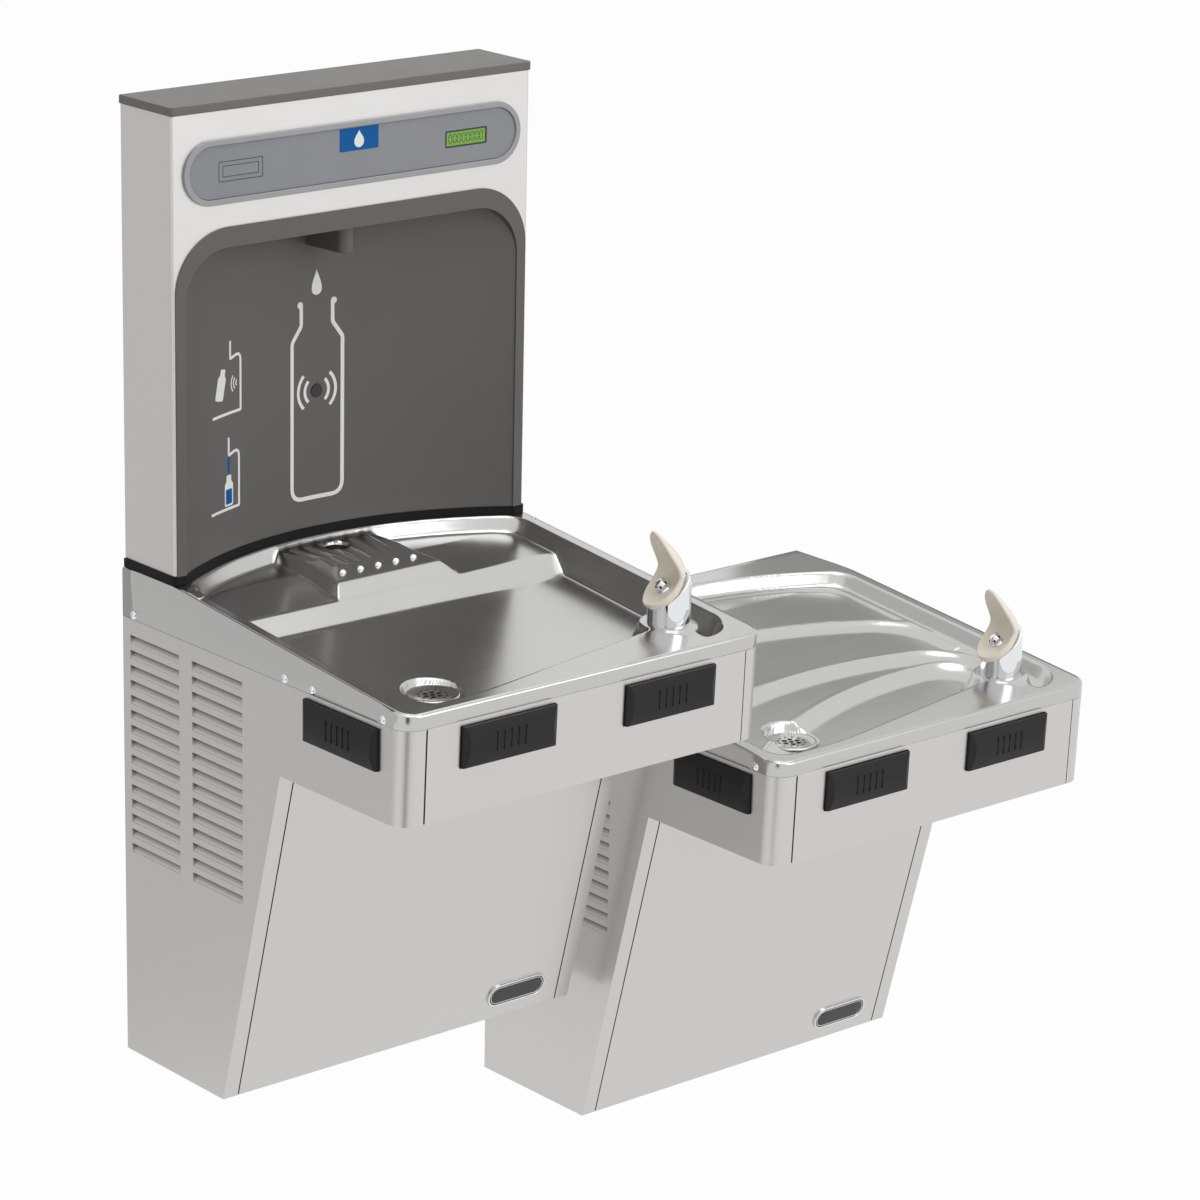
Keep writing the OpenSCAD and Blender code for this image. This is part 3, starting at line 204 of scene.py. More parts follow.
def painted(name, color, roughness):
    """Enamel or zinc: soft mottling, and a faint orange-peel."""
    f = Finish(name, color, roughness, 0.15)
    mottle = f.noise(f.place()[0], 45.0, 5.0)
    f.set("Base Color", f.blend(mottle, shade(color, 0.86), shade(color, 1.12)))
    f.set("Roughness", (roughness + (mottle - 0.5) * 0.2).clamp())
    f.bump(mottle, 0.15, 0.0001)
    return f.material


PANEL_STEEL = (0.62, 0.615, 0.60)
FINISHES = {
    "panel": brushed("panel_steel", PANEL_STEEL, 0.34, (9.0, 9.0, 1400.0)),
    "filler_panel": brushed("filler_steel", (0.68, 0.675, 0.66), 0.42, (9.0, 9.0, 1400.0)),
    "basin": brushed("basin_steel", (0.56, 0.56, 0.55), 0.21, (12.0, 900.0, 900.0)),
    "galvanised": painted("zinc_coat", (0.42, 0.44, 0.45), 0.5),
    "pipe": moulded("pipe_white", (0.75, 0.75, 0.73), 0.4),
    "chrome": plated("chrome_plate", (0.80, 0.81, 0.82), 0.05),
    "guard": moulded("guard_beige", (0.86, 0.80, 0.68), 0.36, 500.0, 0.00002),
    "push_bar": moulded("bar_black", (0.013, 0.013, 0.013), 0.48, 1300.0, 0.00006, specular_ior_level=0.25),
    "bracket": painted("bracket_grey", (0.06, 0.06, 0.062), 0.5),
    "tube_brass": plated("copper_tube", (0.72, 0.42, 0.24), 0.25),
    "compressor": painted("black_enamel", (0.02, 0.02, 0.022), 0.35),
    "fins": brushed("fin_aluminium", (0.62, 0.63, 0.64), 0.4, (9.0, 9.0, 600.0)),
    "black_plastic": moulded("fan_black", (0.02, 0.02, 0.02), 0.45),
    "tank": moulded("tank_foam", (0.45, 0.47, 0.48), 0.8, 300.0, 0.0004),
    "cap": moulded("cap_grey", (0.15, 0.147, 0.137), 0.45, 1100.0, 0.00004, specular_ior_level=0.3),
    # Black rubber for the filler's gasket; the same black is painted shade in the seams, holes, nozzle slots and
    # screw recesses
    "gasket": moulded("black_rubber_and_painted_shade", (0.008, 0.008, 0.008), 0.6, specular_ior_level=0.15),
    "liner": moulded("liner_grey", (0.105, 0.10, 0.095), 0.42, 1200.0, 0.00005),
    "lens": moulded("lens_black", (0.01, 0.01, 0.012), 0.1, 900.0, 0.0),
    "bezel": moulded("bezel_grey", (0.34, 0.345, 0.35), 0.35, 1100.0, 0.00002),
    "label": moulded("label_grey", (0.265, 0.272, 0.29), 0.42, 1400.0, 0.00001, specular_ior_level=0.3),
    "display": moulded("display_green", (0.20, 0.42, 0.06), 0.2, 900.0, 0.0),
    "box_plastic": moulded("box_white", (0.7, 0.7, 0.68), 0.4),
    "badge": plated("badge_plate", (0.7, 0.7, 0.69), 0.2),
}

for entry in frame["record"]["subparts"]:
    mesh = frame["nodes"][entry["node"]].data
    mesh.materials.clear()
    mesh.materials.append(FINISHES[entry["material_slot"]])

# Each cabinet's sides get their own steel, with painted shade on the louvres' blades
for unit in UNITS:
    louvre_shaded = brushed(f"{unit}_side_steel_louvre_shade", PANEL_STEEL, 0.34, (9.0, 9.0, 1400.0), unit=unit)
    for side in ("left", "right"):
        mesh = frame["nodes"][f"{unit}_side_{side}"].data
        mesh.materials.clear()
        mesh.materials.append(louvre_shaded)


# Making pieces
def soft_step(t):
    """0 below 0, 1 above 1, and an even S-curve between them."""
    t = np.clip(t, 0.0, 1.0)
    return t * t * (3.0 - 2.0 * t)


def soft_min(a, b, reach):
    """The lower of two values, rounded over a reach where they cross."""
    share = np.clip(0.5 + 0.5 * (b - a) / reach, 0.0, 1.0)
    return b * (1 - share) + a * share - reach * share * (1 - share)


def soft_max(a, b, reach):
    """The higher of two values, rounded over a reach where they cross."""
    return -soft_min(-a, -b, reach)


def placed(unit, points):
    """Points in a cabinet's own frame, in millimetres, as points of the part in metres."""
    return np.asarray(points, float) / 1000.0 + np.array(UNITS[unit])


def piece(name, vertices, faces, slot, finish=None, smooth=True):
    """A mesh object at the world origin that rides on the cabinets and has one finish."""
    mesh = bpy.data.meshes.new(name)
    mesh.from_pydata(np.asarray(vertices, float).reshape(-1, 3), [], faces)
    mesh.validate()
    mesh.polygons.foreach_set("use_smooth", [smooth] * len(mesh.polygons))
    mesh.materials.append(finish or FINISHES[slot])
    made = bpy.data.objects.new(name, mesh)
    scene.collection.objects.link(made)
    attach(made, "cabinets")
    return made


def grid_faces(rows, columns, wrap_rows=False, wrap_columns=False, flip=False):
    """Quads of a grid of points, row by row; a wrapped direction joins its last line to its first."""
    i = np.arange(rows if wrap_rows else rows - 1)[:, None]
    j = np.arange(columns if wrap_columns else columns - 1)[None, :]
    i2, j2 = (i + 1) % rows, (j + 1) % columns
    quads = np.stack([i * columns + j, i * columns + j2, i2 * columns + j2, i2 * columns + j], -1)
    quads = quads.reshape(-1, 4)
    return (quads[:, ::-1] if flip else quads).tolist()


def lifted(line, height):
    """Points of (across, up) with a height as their third number."""
    return np.concatenate([line, np.full((len(line), 1), height)], 1)


def closed_sweep(name, rings, slot, finish=None, flip=False):
    """A closed ring of points carried along a path, with flat caps on its two ends."""
    stations, around = rings.shape[:2]
    faces = grid_faces(stations, around, wrap_columns=True, flip=flip)
    first = list(range(around))
    last = [(stations - 1) * around + k for k in range(around)]
    faces += [first if flip else first[::-1], last[::-1] if flip else last]
    return piece(name, rings, faces, slot, finish)


def modifier(target, kind, **settings):
    """Adds a modifier with its settings."""
    made = target.modifiers.new(kind.lower(), kind)
    for key, value in settings.items():
        setattr(made, key, value)
    return made


def eased(node, width, angle, body="cabinets", segments=2):
    """A copy of a CAD node with its doubles merged, its flat faces joined and its edges rounded."""
    source = frame["nodes"][node]
    work = bmesh.new()
    work.from_mesh(source.data)
    bmesh.ops.remove_doubles(work, verts=work.verts, dist=0.000002)
    bmesh.ops.dissolve_limit(work, angle_limit=math.radians(0.5), verts=work.verts, edges=work.edges)
    mesh = bpy.data.meshes.new(node + "_eased")
    work.to_mesh(mesh)
    work.free()
    mesh.polygons.foreach_set("use_smooth", [True] * len(mesh.polygons))
    made = bpy.data.objects.new(node + "_eased", mesh)
    scene.collection.objects.link(made)
    mesh.materials.append(source.data.materials[0])
    modifier(made, "BEVEL", width=width, segments=segments, limit_method="ANGLE",
             angle_limit=math.radians(angle), harden_normals=True, use_clamp_overlap=True)
    modifier(made, "WEIGHTED_NORMAL", mode="FACE_AREA", weight=50, keep_sharp=False)
    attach(made, body)
    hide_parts(node)
    return made


# Basins
# Millimetres in a cabinet's own frame from here on, unless a name says otherwise.
MM_W, MM_D, MM_FLAT, MM_FALL = CAB_W * 1000, CAB_D * 1000, FLAT_D * 1000, RIM_FALL * 1000
MM_CORNER, MM_SKIRT, MM_LEAN = CORNER_R * 1000, SKIRT_DROP * 1000, LEAN_IN * 1000
SHEET = 1.2
ROLL_R = 3.0
BOWL_HALF, BOWL_FRONT, BOWL_CORNER = 218.0, 458.0, 24.0
BACK_CENTRE_Y, BACK_R = -408.0, 380.0
BUB_X, BUB_Y, BOSS_R = 158.5, -410.0, 30.0
# Where the shelf's slanting edge meets the bowl's front
SHELF_END_X = -128.0
PIT_X, PIT_Y, PIT_R, PIT_Z = -115.5, -368.0, 29.5, -66.0


def rim_height(y):
    """Height of the rim: level for the flat depth from the wall, then falling evenly to the front."""
    return -np.clip(-y - MM_FLAT, 0.0, None) * math.tan(TILT)


def inside_bowl(x, y):
    """Distance inside the bowl's edge: the back circle, the sides and front with round corners, and
    outside the shelf, which is the strip in front of a slanting line and a disc round the bubbler."""
    circle = BACK_R - np.hypot(x, y - BACK_CENTRE_Y)
    corner = np.where(x > 0, 2.0 * BOWL_CORNER, BOWL_CORNER)
    dx, dy = np.abs(x) - (BOWL_HALF - corner), -y - (BOWL_FRONT - corner)
    box = corner - np.hypot(np.clip(dx, 0, None), np.clip(dy, 0, None)) - np.minimum(np.maximum(dx, dy), 0)
    run_x, run_y = BUB_X - SHELF_END_X, BUB_Y + BOWL_FRONT
    line = ((y + BOWL_FRONT) * run_x - (x - SHELF_END_X) * run_y) / math.hypot(run_x, run_y)
    strip = np.maximum(line, x - BUB_X)
    disc = np.hypot(x - BUB_X, y - BUB_Y) - BOSS_R
    stem = np.maximum(y - BUB_Y, np.abs(x - BUB_X + 6.0) - 15.0)
    shelf = soft_min(soft_min(strip, disc, 5.0), stem, 5.0)
    return soft_min(soft_min(circle, box, 16.0), shelf, 6.0)


def sunk(rim, inside, floor, wall_slope, fillet):
    """Rim, wall and floor: the wall falls from the edge at a slope, eased into rim and floor."""
    return soft_min(rim, soft_max(floor, rim - wall_slope * inside, fillet), 3.5)


def bubbler_boss(x, y, sheet, inside):
    """A low flared cone under the bubbler, level on top, which ends where the bowl's wall begins."""
    away = np.hypot(x - BUB_X, y - BUB_Y)
    top = rim_height(np.array(BUB_Y)) + 1.2
    cone = soft_min(top, top - (away - 26.0) * 0.55, 2.0)
    return np.where(inside < 4.0, soft_max(sheet, cone - 3.0 * np.clip(inside, 0, None), 1.5), sheet)


def pit_height(x, y, height):
    """The sheet with its drain pit: a level floor, and a steep wall outside the pit's radius."""
    away = np.hypot(x - PIT_X, y - PIT_Y)
    return soft_min(height, soft_max(np.full_like(height, PIT_Z), PIT_Z + (away - PIT_R) * 5.0, 2.0), 2.0)


DECK_DEEP, STEP_Y, STEP_H, STEP_RUN, FLOOR_FALL = 16.5, -166.0, 18.0, 23.7, 30.0
REST_HALF, REST_EDGE, REST_DEEP, STUD_PITCH, STUD_Y = 61.0, -148.5, 5.0, 23.2, -128.5
DRAIN_Y, DRAIN_R = -58.0, 14.0


def tall_floor(x, y):
    """The tall basin's floor: a deck that follows the rim, then a step, then a floor that falls to
    the front. The bottle rest rises out of the deck, and its front runs on into the step's face."""
    deck = rim_height(np.maximum(y, STEP_Y)) - DECK_DEEP
    edge = rim_height(np.array(STEP_Y)) - DECK_DEEP
    low_y = STEP_Y - STEP_RUN
    share = np.clip((low_y - y) / (MM_D + low_y), 0, 1)
    lower = edge - STEP_H - FLOOR_FALL * share
    face = edge - (STEP_Y - y) * STEP_H / STEP_RUN
    # The rest's top, its two sides and its sloping front
    top = rim_height(y) - REST_DEEP
    front = rim_height(np.array(REST_EDGE)) - REST_DEEP + (y - REST_EDGE) * (
        (rim_height(np.array(REST_EDGE)) - REST_DEEP - edge) / (REST_EDGE - STEP_Y))
    flare = 9.0 * soft_step((-y - 100.0) / 70.0)
    side = top - (np.abs(x) - REST_HALF - flare) * 1.1
    rest = soft_min(soft_min(top, front, 1.6), side, 2.5)
    ribs = 0
    for k in range(6):
        centre = (k - 2.5) * 18.0 * (1.0 + 0.25 * np.clip((-y - 60.0) / -60.0, -0.5, 1.0))
        ribs = ribs + np.exp(-((x - centre) / 2.6) ** 2)
    rest = rest + 1.7 * ribs * soft_step((-y - 26.0) / 20.0) * soft_step((y + 116.0) / 8.0)
    upper = soft_max(deck, rest, 1.2)
    floor = soft_max(soft_min(upper, face, 1.8), lower, 3.0)
    hole = np.hypot(x, y - DRAIN_Y)
    return soft_min(floor, -30.0 + (hole - DRAIN_R + 2.0) * 12.0, 1.0)


def tall_height(x, y):
    """The tall basin: the rim, its wall and floor, then the pit, then the bubbler's boss."""
    rim = rim_height(y)
    floor = tall_floor(x, y)
    inside = inside_bowl(x, y)
    bowl = sunk(rim, inside, floor, 2.4, 7.0)
    return bubbler_boss(x, y, pit_height(x, y, bowl), inside)


# The low basin's levels under the rim, and the curved edges between them: x and y of the arc's
# nearest point to the wall, its radius, and where it turns to run along the right wall
LOW_DEEP = (16.0, 22.0, 29.0, 37.0)
LOW_ARCS = ((-60.0, -148.0, 560.0, 208.0), (20.0, -262.0, 600.0, 200.0), (130.0, -300.0, 550.0, 192.0))


def low_height(x, y):
    """The low basin: a first level inside the edge, then three more beyond curved edges, each with a
    small bead on its lip, a crisp fall and a soft foot."""
    rim = rim_height(y)
    deep = np.full_like(x, LOW_DEEP[0])
    bead = np.zeros_like(x)
    for (ax, ay, radius, turn), upper, lower in zip(LOW_ARCS, LOW_DEEP, LOW_DEEP[1:]):
        inside = soft_min(radius - np.hypot(x - ax, y - ay + radius), turn - x, 46.0)
        t = np.clip(inside / 20.0, 0, 1)
        deep = deep + (lower - upper) * (1 - (1 - t) ** 2.2)
        bead = bead + 1.3 * np.exp(-((inside + 1.5) / 2.6) ** 2)
    inside = inside_bowl(x, y)
    floor = rim - deep + bead * np.clip(inside / 12.0 - 0.6, 0, 1)
    # A shallow gutter runs along the foot of the back wall, and five short ribs cross its lip
    floor = floor + 2.0 * np.exp(-((inside - 17.0) / 4.5) ** 2) * (y > -300)
    bowl = sunk(rim, inside, floor, 2.0, 5.0)
    ribs = sum(np.exp(-((x + 0.5 * y - 96.0 - k * 5.2) / 1.2) ** 2) for k in range(5))
    bowl = bowl + 0.9 * ribs * np.exp(-((inside - 4.0) / 4.0) ** 2)
    return bubbler_boss(x, y, pit_height(x, y, bowl), inside)


def spaced(*spans):
    """Positions along a line: each span (start, end, step) in turn, its end left to the next one."""
    lines = [np.linspace(a, b, max(2, round(abs(b - a) / step) + 1))[:-1] for a, b, step in spans]
    return np.concatenate(lines + [np.array([spans[-1][1]])])


# Columns within this distance of the middle stay straight at the front corners
STRAIGHT_X = 190.0


def basin_pan(unit, height, columns, rows, bend):
    """The pressed sheet as a height over the plan. Rows bend back in an even arc by a share that
    depends on their depth, so they run along the curved edges, and they narrow at the front corners."""
    flat = ROLL_R
    u, v = np.meshgrid(columns, rows)
    sag = 520.0 - np.sqrt(520.0 ** 2 - (np.clip(u, -226, 226) - 15.0) ** 2)
    y = np.clip(v - sag * np.interp(-v, *bend), flat - MM_D, 0.0)
    round_r = MM_CORNER - flat
    into = np.clip(-y - (MM_D - MM_CORNER), 0, round_r)
    half = MM_W / 2 - MM_CORNER + np.sqrt(round_r ** 2 - into ** 2)
    full = MM_W / 2 - flat
    beyond = np.abs(u) - STRAIGHT_X
    x = np.where(beyond > 0, np.sign(u) * (STRAIGHT_X + beyond * (half - STRAIGHT_X) / (full - STRAIGHT_X)), u)
    z = height(x, y)
    points = placed(unit, np.stack([x, y, z], -1))
    made = piece(f"{unit}_basin_pan", points, grid_faces(*u.shape, flip=True), "basin")
    modifier(made, "SOLIDIFY", thickness=SHEET / 1000, offset=-1.0)
    return made


def plan_outline(inset, corner_steps=14):
    """A cabinet's plan from the back left to the back right: (points, outward directions)."""
    r = MM_CORNER - inset
    turn = np.linspace(0, math.pi / 2, corner_steps)
    left = np.stack([-np.cos(turn), -np.sin(turn)], -1)
    right = left[::-1] * (-1, 1)
    straight = np.linspace(0, 1, 20)
    out = np.concatenate([np.tile([-1.0, 0.0], (20, 1)), left, np.tile([0.0, -1.0], (10, 1)), right,
                          np.tile([1.0, 0.0], (20, 1))])
    cx, cy = MM_W / 2 - MM_CORNER, MM_CORNER - MM_D
    base = np.concatenate([
        np.stack([np.full(20, -cx), straight * cy], -1), np.tile([-cx, cy], (corner_steps, 1)),
        np.stack([np.linspace(-cx, cx, 12)[1:-1], np.full(10, cy)], -1),
        np.tile([cx, cy], (corner_steps, 1)),
        np.stack([np.full(20, cx), (1 - straight) * cy], -1)])
    return base + out * r, out


def basin_rim(unit):
    """The basin's rolled edge and skirt: a closed hook profile carried round the plan."""
    flat_in, turn = ROLL_R + 1.5, np.linspace(0, math.pi / 2, 7)
    outer = [(flat_in, -0.04)] + [(ROLL_R * (1 - math.sin(a)), -ROLL_R * (1 - math.cos(a))) for a in turn]
    inner_r = ROLL_R - SHEET
    inner = [(SHEET + inner_r * (1 - math.sin(a)), -SHEET - inner_r * (1 - math.cos(a))) for a in turn[::-1]]
    rings = []
    path, out = plan_outline(0.0)
    path = np.insert(path, 4, (path[3][0], -MM_FLAT), axis=0)
    out = np.insert(out, 4, out[3], axis=0)
    order = np.argsort(-path[:24, 1], kind="stable")
    path[:24], out[:24] = path[:24][order], out[:24][order]
    top = rim_height(path[:, 1])
    low = np.full_like(top, -MM_SKIRT)
    columns = [(inset, top + drop) for inset, drop in outer]
    columns += [(0.0, low + 0.5), (0.35, low), (SHEET - 0.35, low), (SHEET, low + 0.5)]
    columns += [(inset, top + drop) for inset, drop in inner] + [(flat_in, top - SHEET)]
    for inset, z in columns:
        lean = np.clip((-MM_FALL - z) / 1000 * (MM_LEAN / 0.1155), 0, None) * np.clip(-out[:, 1], 0, 1)
        xy = path - out * inset
        rings.append(np.stack([xy[:, 0], xy[:, 1] + lean, z], -1))
    rings = np.stack(rings, 1)
    return closed_sweep(f"{unit}_basin_rim", placed(unit, rings), "basin")


TALL_COLUMNS = spaced(
    (-230.5, -222, 2.8), (-222, -200, 1.5), (-200, -158, 3.2), (-158, -74, 1.9), (-74, -50, 1.7),
    (-50, -20, 2.2), (-20, 20, 1.7), (20, 50, 2.2), (50, 74, 1.7), (74, 118, 3.4), (118, 198, 1.8),
    (198, 222, 1.5), (222, 230.5, 2.8))
TALL_ROWS = spaced(
    (0, -20, 4), (-20, -46, 1.8), (-46, -76, 1.7), (-76, -142, 2.2), (-142, -172, 1.4), (-172, -184, 2.4),
    (-184, -198, 1.3), (-198, -330, 3.6), (-330, -376, 2.1), (-376, -440, 1.9), (-440, -466, 1.6),
    (-466, -473, 2.4))
LOW_COLUMNS = spaced(
    (-230.5, -222, 2.8), (-222, -200, 1.5), (-200, -158, 3.0), (-158, -74, 1.9), (-74, 90, 3.0),
    (90, 124, 1.6), (124, 222, 1.7), (222, 230.5, 2.8))
LOW_ROWS = spaced(
    (0, -20, 4), (-20, -48, 1.5), (-48, -118, 3.0), (-118, -160, 1.7), (-160, -222, 3.0),
    (-222, -282, 1.6), (-282, -372, 1.7), (-372, -430, 2.0), (-430, -466, 1.7), (-466, -473, 2.4))
# Depths from the wall, and the share by which the rows there bend back
TALL_BEND = ((0, 20, 50, 110, 480), (0, 1.35, 1.35, 0, 0))
LOW_BEND = ((0, 20, 50, 120, 330, 440, 480), (0, 1.3, 1.3, 1.0, 0.9, 0, 0))
for unit, *shape in (("tall", tall_height, TALL_COLUMNS, TALL_ROWS, TALL_BEND),
                     ("low", low_height, LOW_COLUMNS, LOW_ROWS, LOW_BEND)):
    pan = basin_pan(unit, *shape)
    basin_rim(unit)
    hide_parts(f"{unit}_basin")


# Bubblers
BUB_TURN = math.radians(-12.0)
CUT_LOW, CUT_ANGLE, BODY_R = 18.0, math.radians(40.0), 22.5
# The mouth guard's middle line as (away from the spray, up), from the dish's lip to the hood's tip,
# with the half width, the height of its edges, and the thickness under and at its edges
GUARD_STATIONS = np.array([
    # x,     z,    half, edge, under, edge_t
    (-28.0, 23.6, 1.2, 0.0, 3.0, 3.0),
    (-26.9, 24.2, 7.5, 0.3, 5.0, 5.4),
    (-24.6, 25.0, 12.8, 0.8, 6.0, 6.6),
    (-20.6, 27.0, 18.0, 1.8, 5.2, 7.4),
    (-14.0, 31.0, 22.8, 3.4, 4.0, 7.8),
    (-5.4, 37.6, 25.2, 5.0, 3.6, 7.8),
    (2.0, 44.2, 25.2, 7.5, 4.6, 7.0),
    (7.2, 51.0, 25.0, 9.5, 5.6, 6.0),
    (8.8, 58.5, 24.4, 10.5, 5.2, 5.2),
    (6.4, 66.0, 23.6, 10.5, 4.6, 4.8),
    (1.8, 73.5, 22.4, 9.8, 4.2, 4.6),
    (-4.0, 80.3, 20.6, 8.2, 3.9, 4.4),
    (-9.6, 86.4, 18.0, 6.0, 3.6, 4.2),
    (-14.2, 91.4, 14.4, 3.8, 3.4, 4.0),
    (-17.4, 94.8, 10.4, 2.0, 3.1, 3.6),
    (-19.4, 97.0, 6.4, 0.8, 2.6, 2.8),
    (-20.6, 98.2, 1.2, 0.1, 1.4, 1.4),
])
GUARD_POWER = 2.3


def through(stations, count):
    """A smooth line through rows of numbers: a Catmull-Rom curve, evenly stepped between stations."""
    ends = np.vstack([2 * stations[0] - stations[1], stations, 2 * stations[-1] - stations[-2]])
    t = np.linspace(0, len(stations) - 1 - 1e-9, count)
    i, f = t.astype(int), (t % 1)[:, None]
    a, b, c, d = (ends[i + k] for k in range(4))
    return 0.5 * (2 * b + (c - a) * f + (2 * a - 5 * b + 4 * c - d) * f ** 2 + (3 * b - a - 3 * c + d) * f ** 3)


def at_bubbler(unit, local):
    """Points about a bubbler's foot, with x away from the spray, in the part's metres."""
    x, y, z = local[..., 0], local[..., 1], local[..., 2]
    c, s = math.cos(BUB_TURN), math.sin(BUB_TURN)
    foot = float(rim_height(np.array(BUB_Y)))
    return placed(unit, np.stack([BUB_X + c * x - s * y, BUB_Y + s * x + c * y, z + foot], -1))


def mouth_guard(unit):
    """A spoon: at each station along its middle line a closed section lies across it. The inner face
    is a trough whose height grows as a power of the way to the edge; the outer face follows it below
    by the thickness, and a half ellipse rounds each edge."""
    line = through(GUARD_STATIONS, 96)
    x, z, half, edge, under, edge_t = line.T
    dx, dz = np.gradient(x), np.gradient(z)
    size = np.hypot(dx, dz)
    up_x, up_z = -dz / size, dx / size
    side = np.sin(np.linspace(-math.pi / 2, math.pi / 2, 25))
    turn = np.linspace(0, math.pi, 9)[1:-1]
    bulge = edge_t * 0.5
    inner_half = np.maximum(half - bulge, 0.05 * half)
    trough = np.abs(side) ** GUARD_POWER
    lift_in = edge[:, None] * trough
    outer_edge = edge - edge_t
    lift_out = -under[:, None] + (outer_edge + under)[:, None] * trough
    across = [inner_half[:, None] * side]
    lift = [lift_in]
    middle = (edge + outer_edge) / 2
    reach = half - inner_half
    across.append(inner_half[:, None] + reach[:, None] * np.sin(turn))
    lift.append(middle[:, None] + (edge_t / 2)[:, None] * np.cos(turn))
    across.append(inner_half[:, None] * side[::-1])
    lift.append(lift_out[:, ::-1])
    across.append(-inner_half[:, None] - reach[:, None] * np.sin(turn))
    lift.append(middle[:, None] - (edge_t / 2)[:, None] * np.cos(turn))
    y, q = np.concatenate(across, 1), np.concatenate(lift, 1)
    local = np.stack([x[:, None] + up_x[:, None] * q, y, z[:, None] + up_z[:, None] * q], -1)
    made = closed_sweep(f"{unit}_mouth_guard", at_bubbler(unit, local), "guard")
    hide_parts(f"{unit}_bubbler_guard")


def revolve(name, profile, place, slot, finish=None, around=48):
    """A profile of (radius, height) turned about an upright axis, closed where its radius is nothing."""
    turn = np.linspace(0, 2 * math.pi, around, endpoint=False)
    r, z = np.asarray(profile, float).T
    r, z = r[:, None], np.repeat(z[:, None], around, 1)
    local = np.stack([r * np.cos(turn), r * np.sin(turn), z], -1)
    made = piece(name, place(local), grid_faces(len(r), around, wrap_columns=True), slot, finish)
    work = bmesh.new()
    work.from_mesh(made.data)
    bmesh.ops.remove_doubles(work, verts=work.verts, dist=0.0000005)
    bmesh.ops.recalc_face_normals(work, faces=work.faces)
    work.to_mesh(made.data)
    work.free()
    return made


for unit in UNITS:
    mouth_guard(unit)


# Sheet metal and cases: the CAD's own shapes with eased edges
for unit in UNITS:
    for part in ("side_left", "side_right", "apron", "lower_panel"):
        eased(f"{unit}_{part}", 0.0004, angle=40.0)
for node, width, angle, segments in (
        ("filler_case", 0.0006, 40.0, 3), ("filler_cap", 0.0012, 40.0, 3), ("label_bezel", 0.0009, 50.0, 3),
        ("label_panel", 0.0004, 50.0, 2), ("alcove_liner", 0.0007, 45.0, 3),
        ("filler_gasket", 0.0012, 45.0, 3), ("spout", 0.0014, 45.0, 3)):
    eased(node, width, angle=angle, segments=segments)
for unit in UNITS:
    for part in ("front_left", "front_right", "side_left", "side_right"):
        eased(f"{unit}_bar_{part}", 0.0005, body=f"{unit}_bar_{part}", angle=24.0)


# Seams, bars and badges
def strip(name, low, high, width, depth, unit, slot="gasket"):
    """A flat dark bar between two points of a front, as painted shade for the shadow inside a seam's gap: width
    across, depth inwards.
    """
    low, high = np.array(low, float), np.array(high, float)
    run = (high - low) / np.linalg.norm(high - low)
    across = np.array([1.0, 0.0, 0.0])
    inward = np.cross(across, run)
    inward *= np.sign(inward[1])
    corners = [(-0.5, 0), (0.5, 0), (0.5, 1), (-0.5, 1)]
    rings = np.stack([np.stack([end + across * width * a + inward * depth * b for a, b in corners])
                      for end in (low, high)])
    return closed_sweep(name, placed(unit, rings), slot, flip=run[2] < 0)


MM_APRON, MM_H, MM_KNEE = APRON_DROP * 1000, CAB_H * 1000, KNEE_D * 1000
SIDE_RETURN, FRONT_STRIP, SEAM = 25.8, 18.4, 0.8
FRONT_RUN = (KNEE_D - FOOT_D) / (CAB_H - APRON_DROP)
# Painted shade: each seam gets a black strip standing for the shadow inside its gap
# A seam's strip is sunk in it, or drawn just over it where the photo's line is bold: (inwards, width)
SUNK_SEAM, BOLD_SEAM, FRONT_SEAM = (1.25, 3.0), (-0.06, 1.9), (-0.06, 1.5)


def apron_y(z):
    """Depth of the apron's face at a height: it leans in evenly below the rim's front."""
    return -MM_D - (z + MM_FALL) * MM_LEAN / (MM_APRON - MM_FALL)


def front_y(z):
    """Depth of the sloping front at a height."""
    return -(MM_KNEE + (MM_APRON + z) * FRONT_RUN)


for unit in UNITS:
    for side, word in ((-1, "left"), (1, "right")):
        x = side * (MM_W / 2 - SIDE_RETURN - SEAM / 2)
        inwards, width = BOLD_SEAM if side < 0 else SUNK_SEAM
        low, high = ((x, apron_y(z) + inwards, z) for z in (-151.0, -54.0))
        strip(f"{unit}_apron_seam_{word}", low, high, width, 0.5, unit)
        x = side * (MM_W / 2 - FRONT_STRIP - SEAM / 2)
        inwards, width = FRONT_SEAM
        low, high = ((x, front_y(z) + inwards, z) for z in (1.5 - MM_H, -MM_APRON - 1.5))
        strip(f"{unit}_front_seam_{word}", low, high, width, 0.5, unit)


def pill_line(width, height, count=24):
    """The closed outline of a bar with round ends, as (across, up), anticlockwise."""
    turn = np.linspace(-math.pi / 2, math.pi / 2, count)
    half, r = (width - height) / 2, height / 2
    right = np.stack([half + r * np.cos(turn), r * np.sin(turn)], -1)
    return np.concatenate([right, -right])


def outward(line):
    """Unit normals of a closed anticlockwise outline."""
    along = np.roll(line, -1, 0) - np.roll(line, 1, 0)
    along /= np.linalg.norm(along, axis=1)[:, None]
    return np.stack([along[:, 1], -along[:, 0]], -1)


def bead(name, line, place, profile, slot, finish=None):
    """A closed profile of (outwards, proud) carried round a closed outline."""
    normal = outward(line)
    rings = np.stack([lifted(line + normal * a, b) for a, b in profile], 1)
    faces = grid_faces(*rings.shape[:2], wrap_rows=True, wrap_columns=True, flip=True)
    return piece(name, place(rings), faces, slot, finish)


def half_round(width, height, up, count=9):
    """Half an ellipse standing on a foot 0.4 deep, raised by a height."""
    turn = np.linspace(0, math.pi, count)
    arc = [(width / 2 * math.cos(a), height * math.sin(a)) for a in turn]
    return [(a, b + up) for a, b in arc + [(-width / 2, -0.4), (width / 2, -0.4)]]


BADGE_W, BADGE_H, BADGE_X, BADGE_UP = 80.0, 28.0, 153.5, 29.0
SLOPE = math.atan(FRONT_RUN)


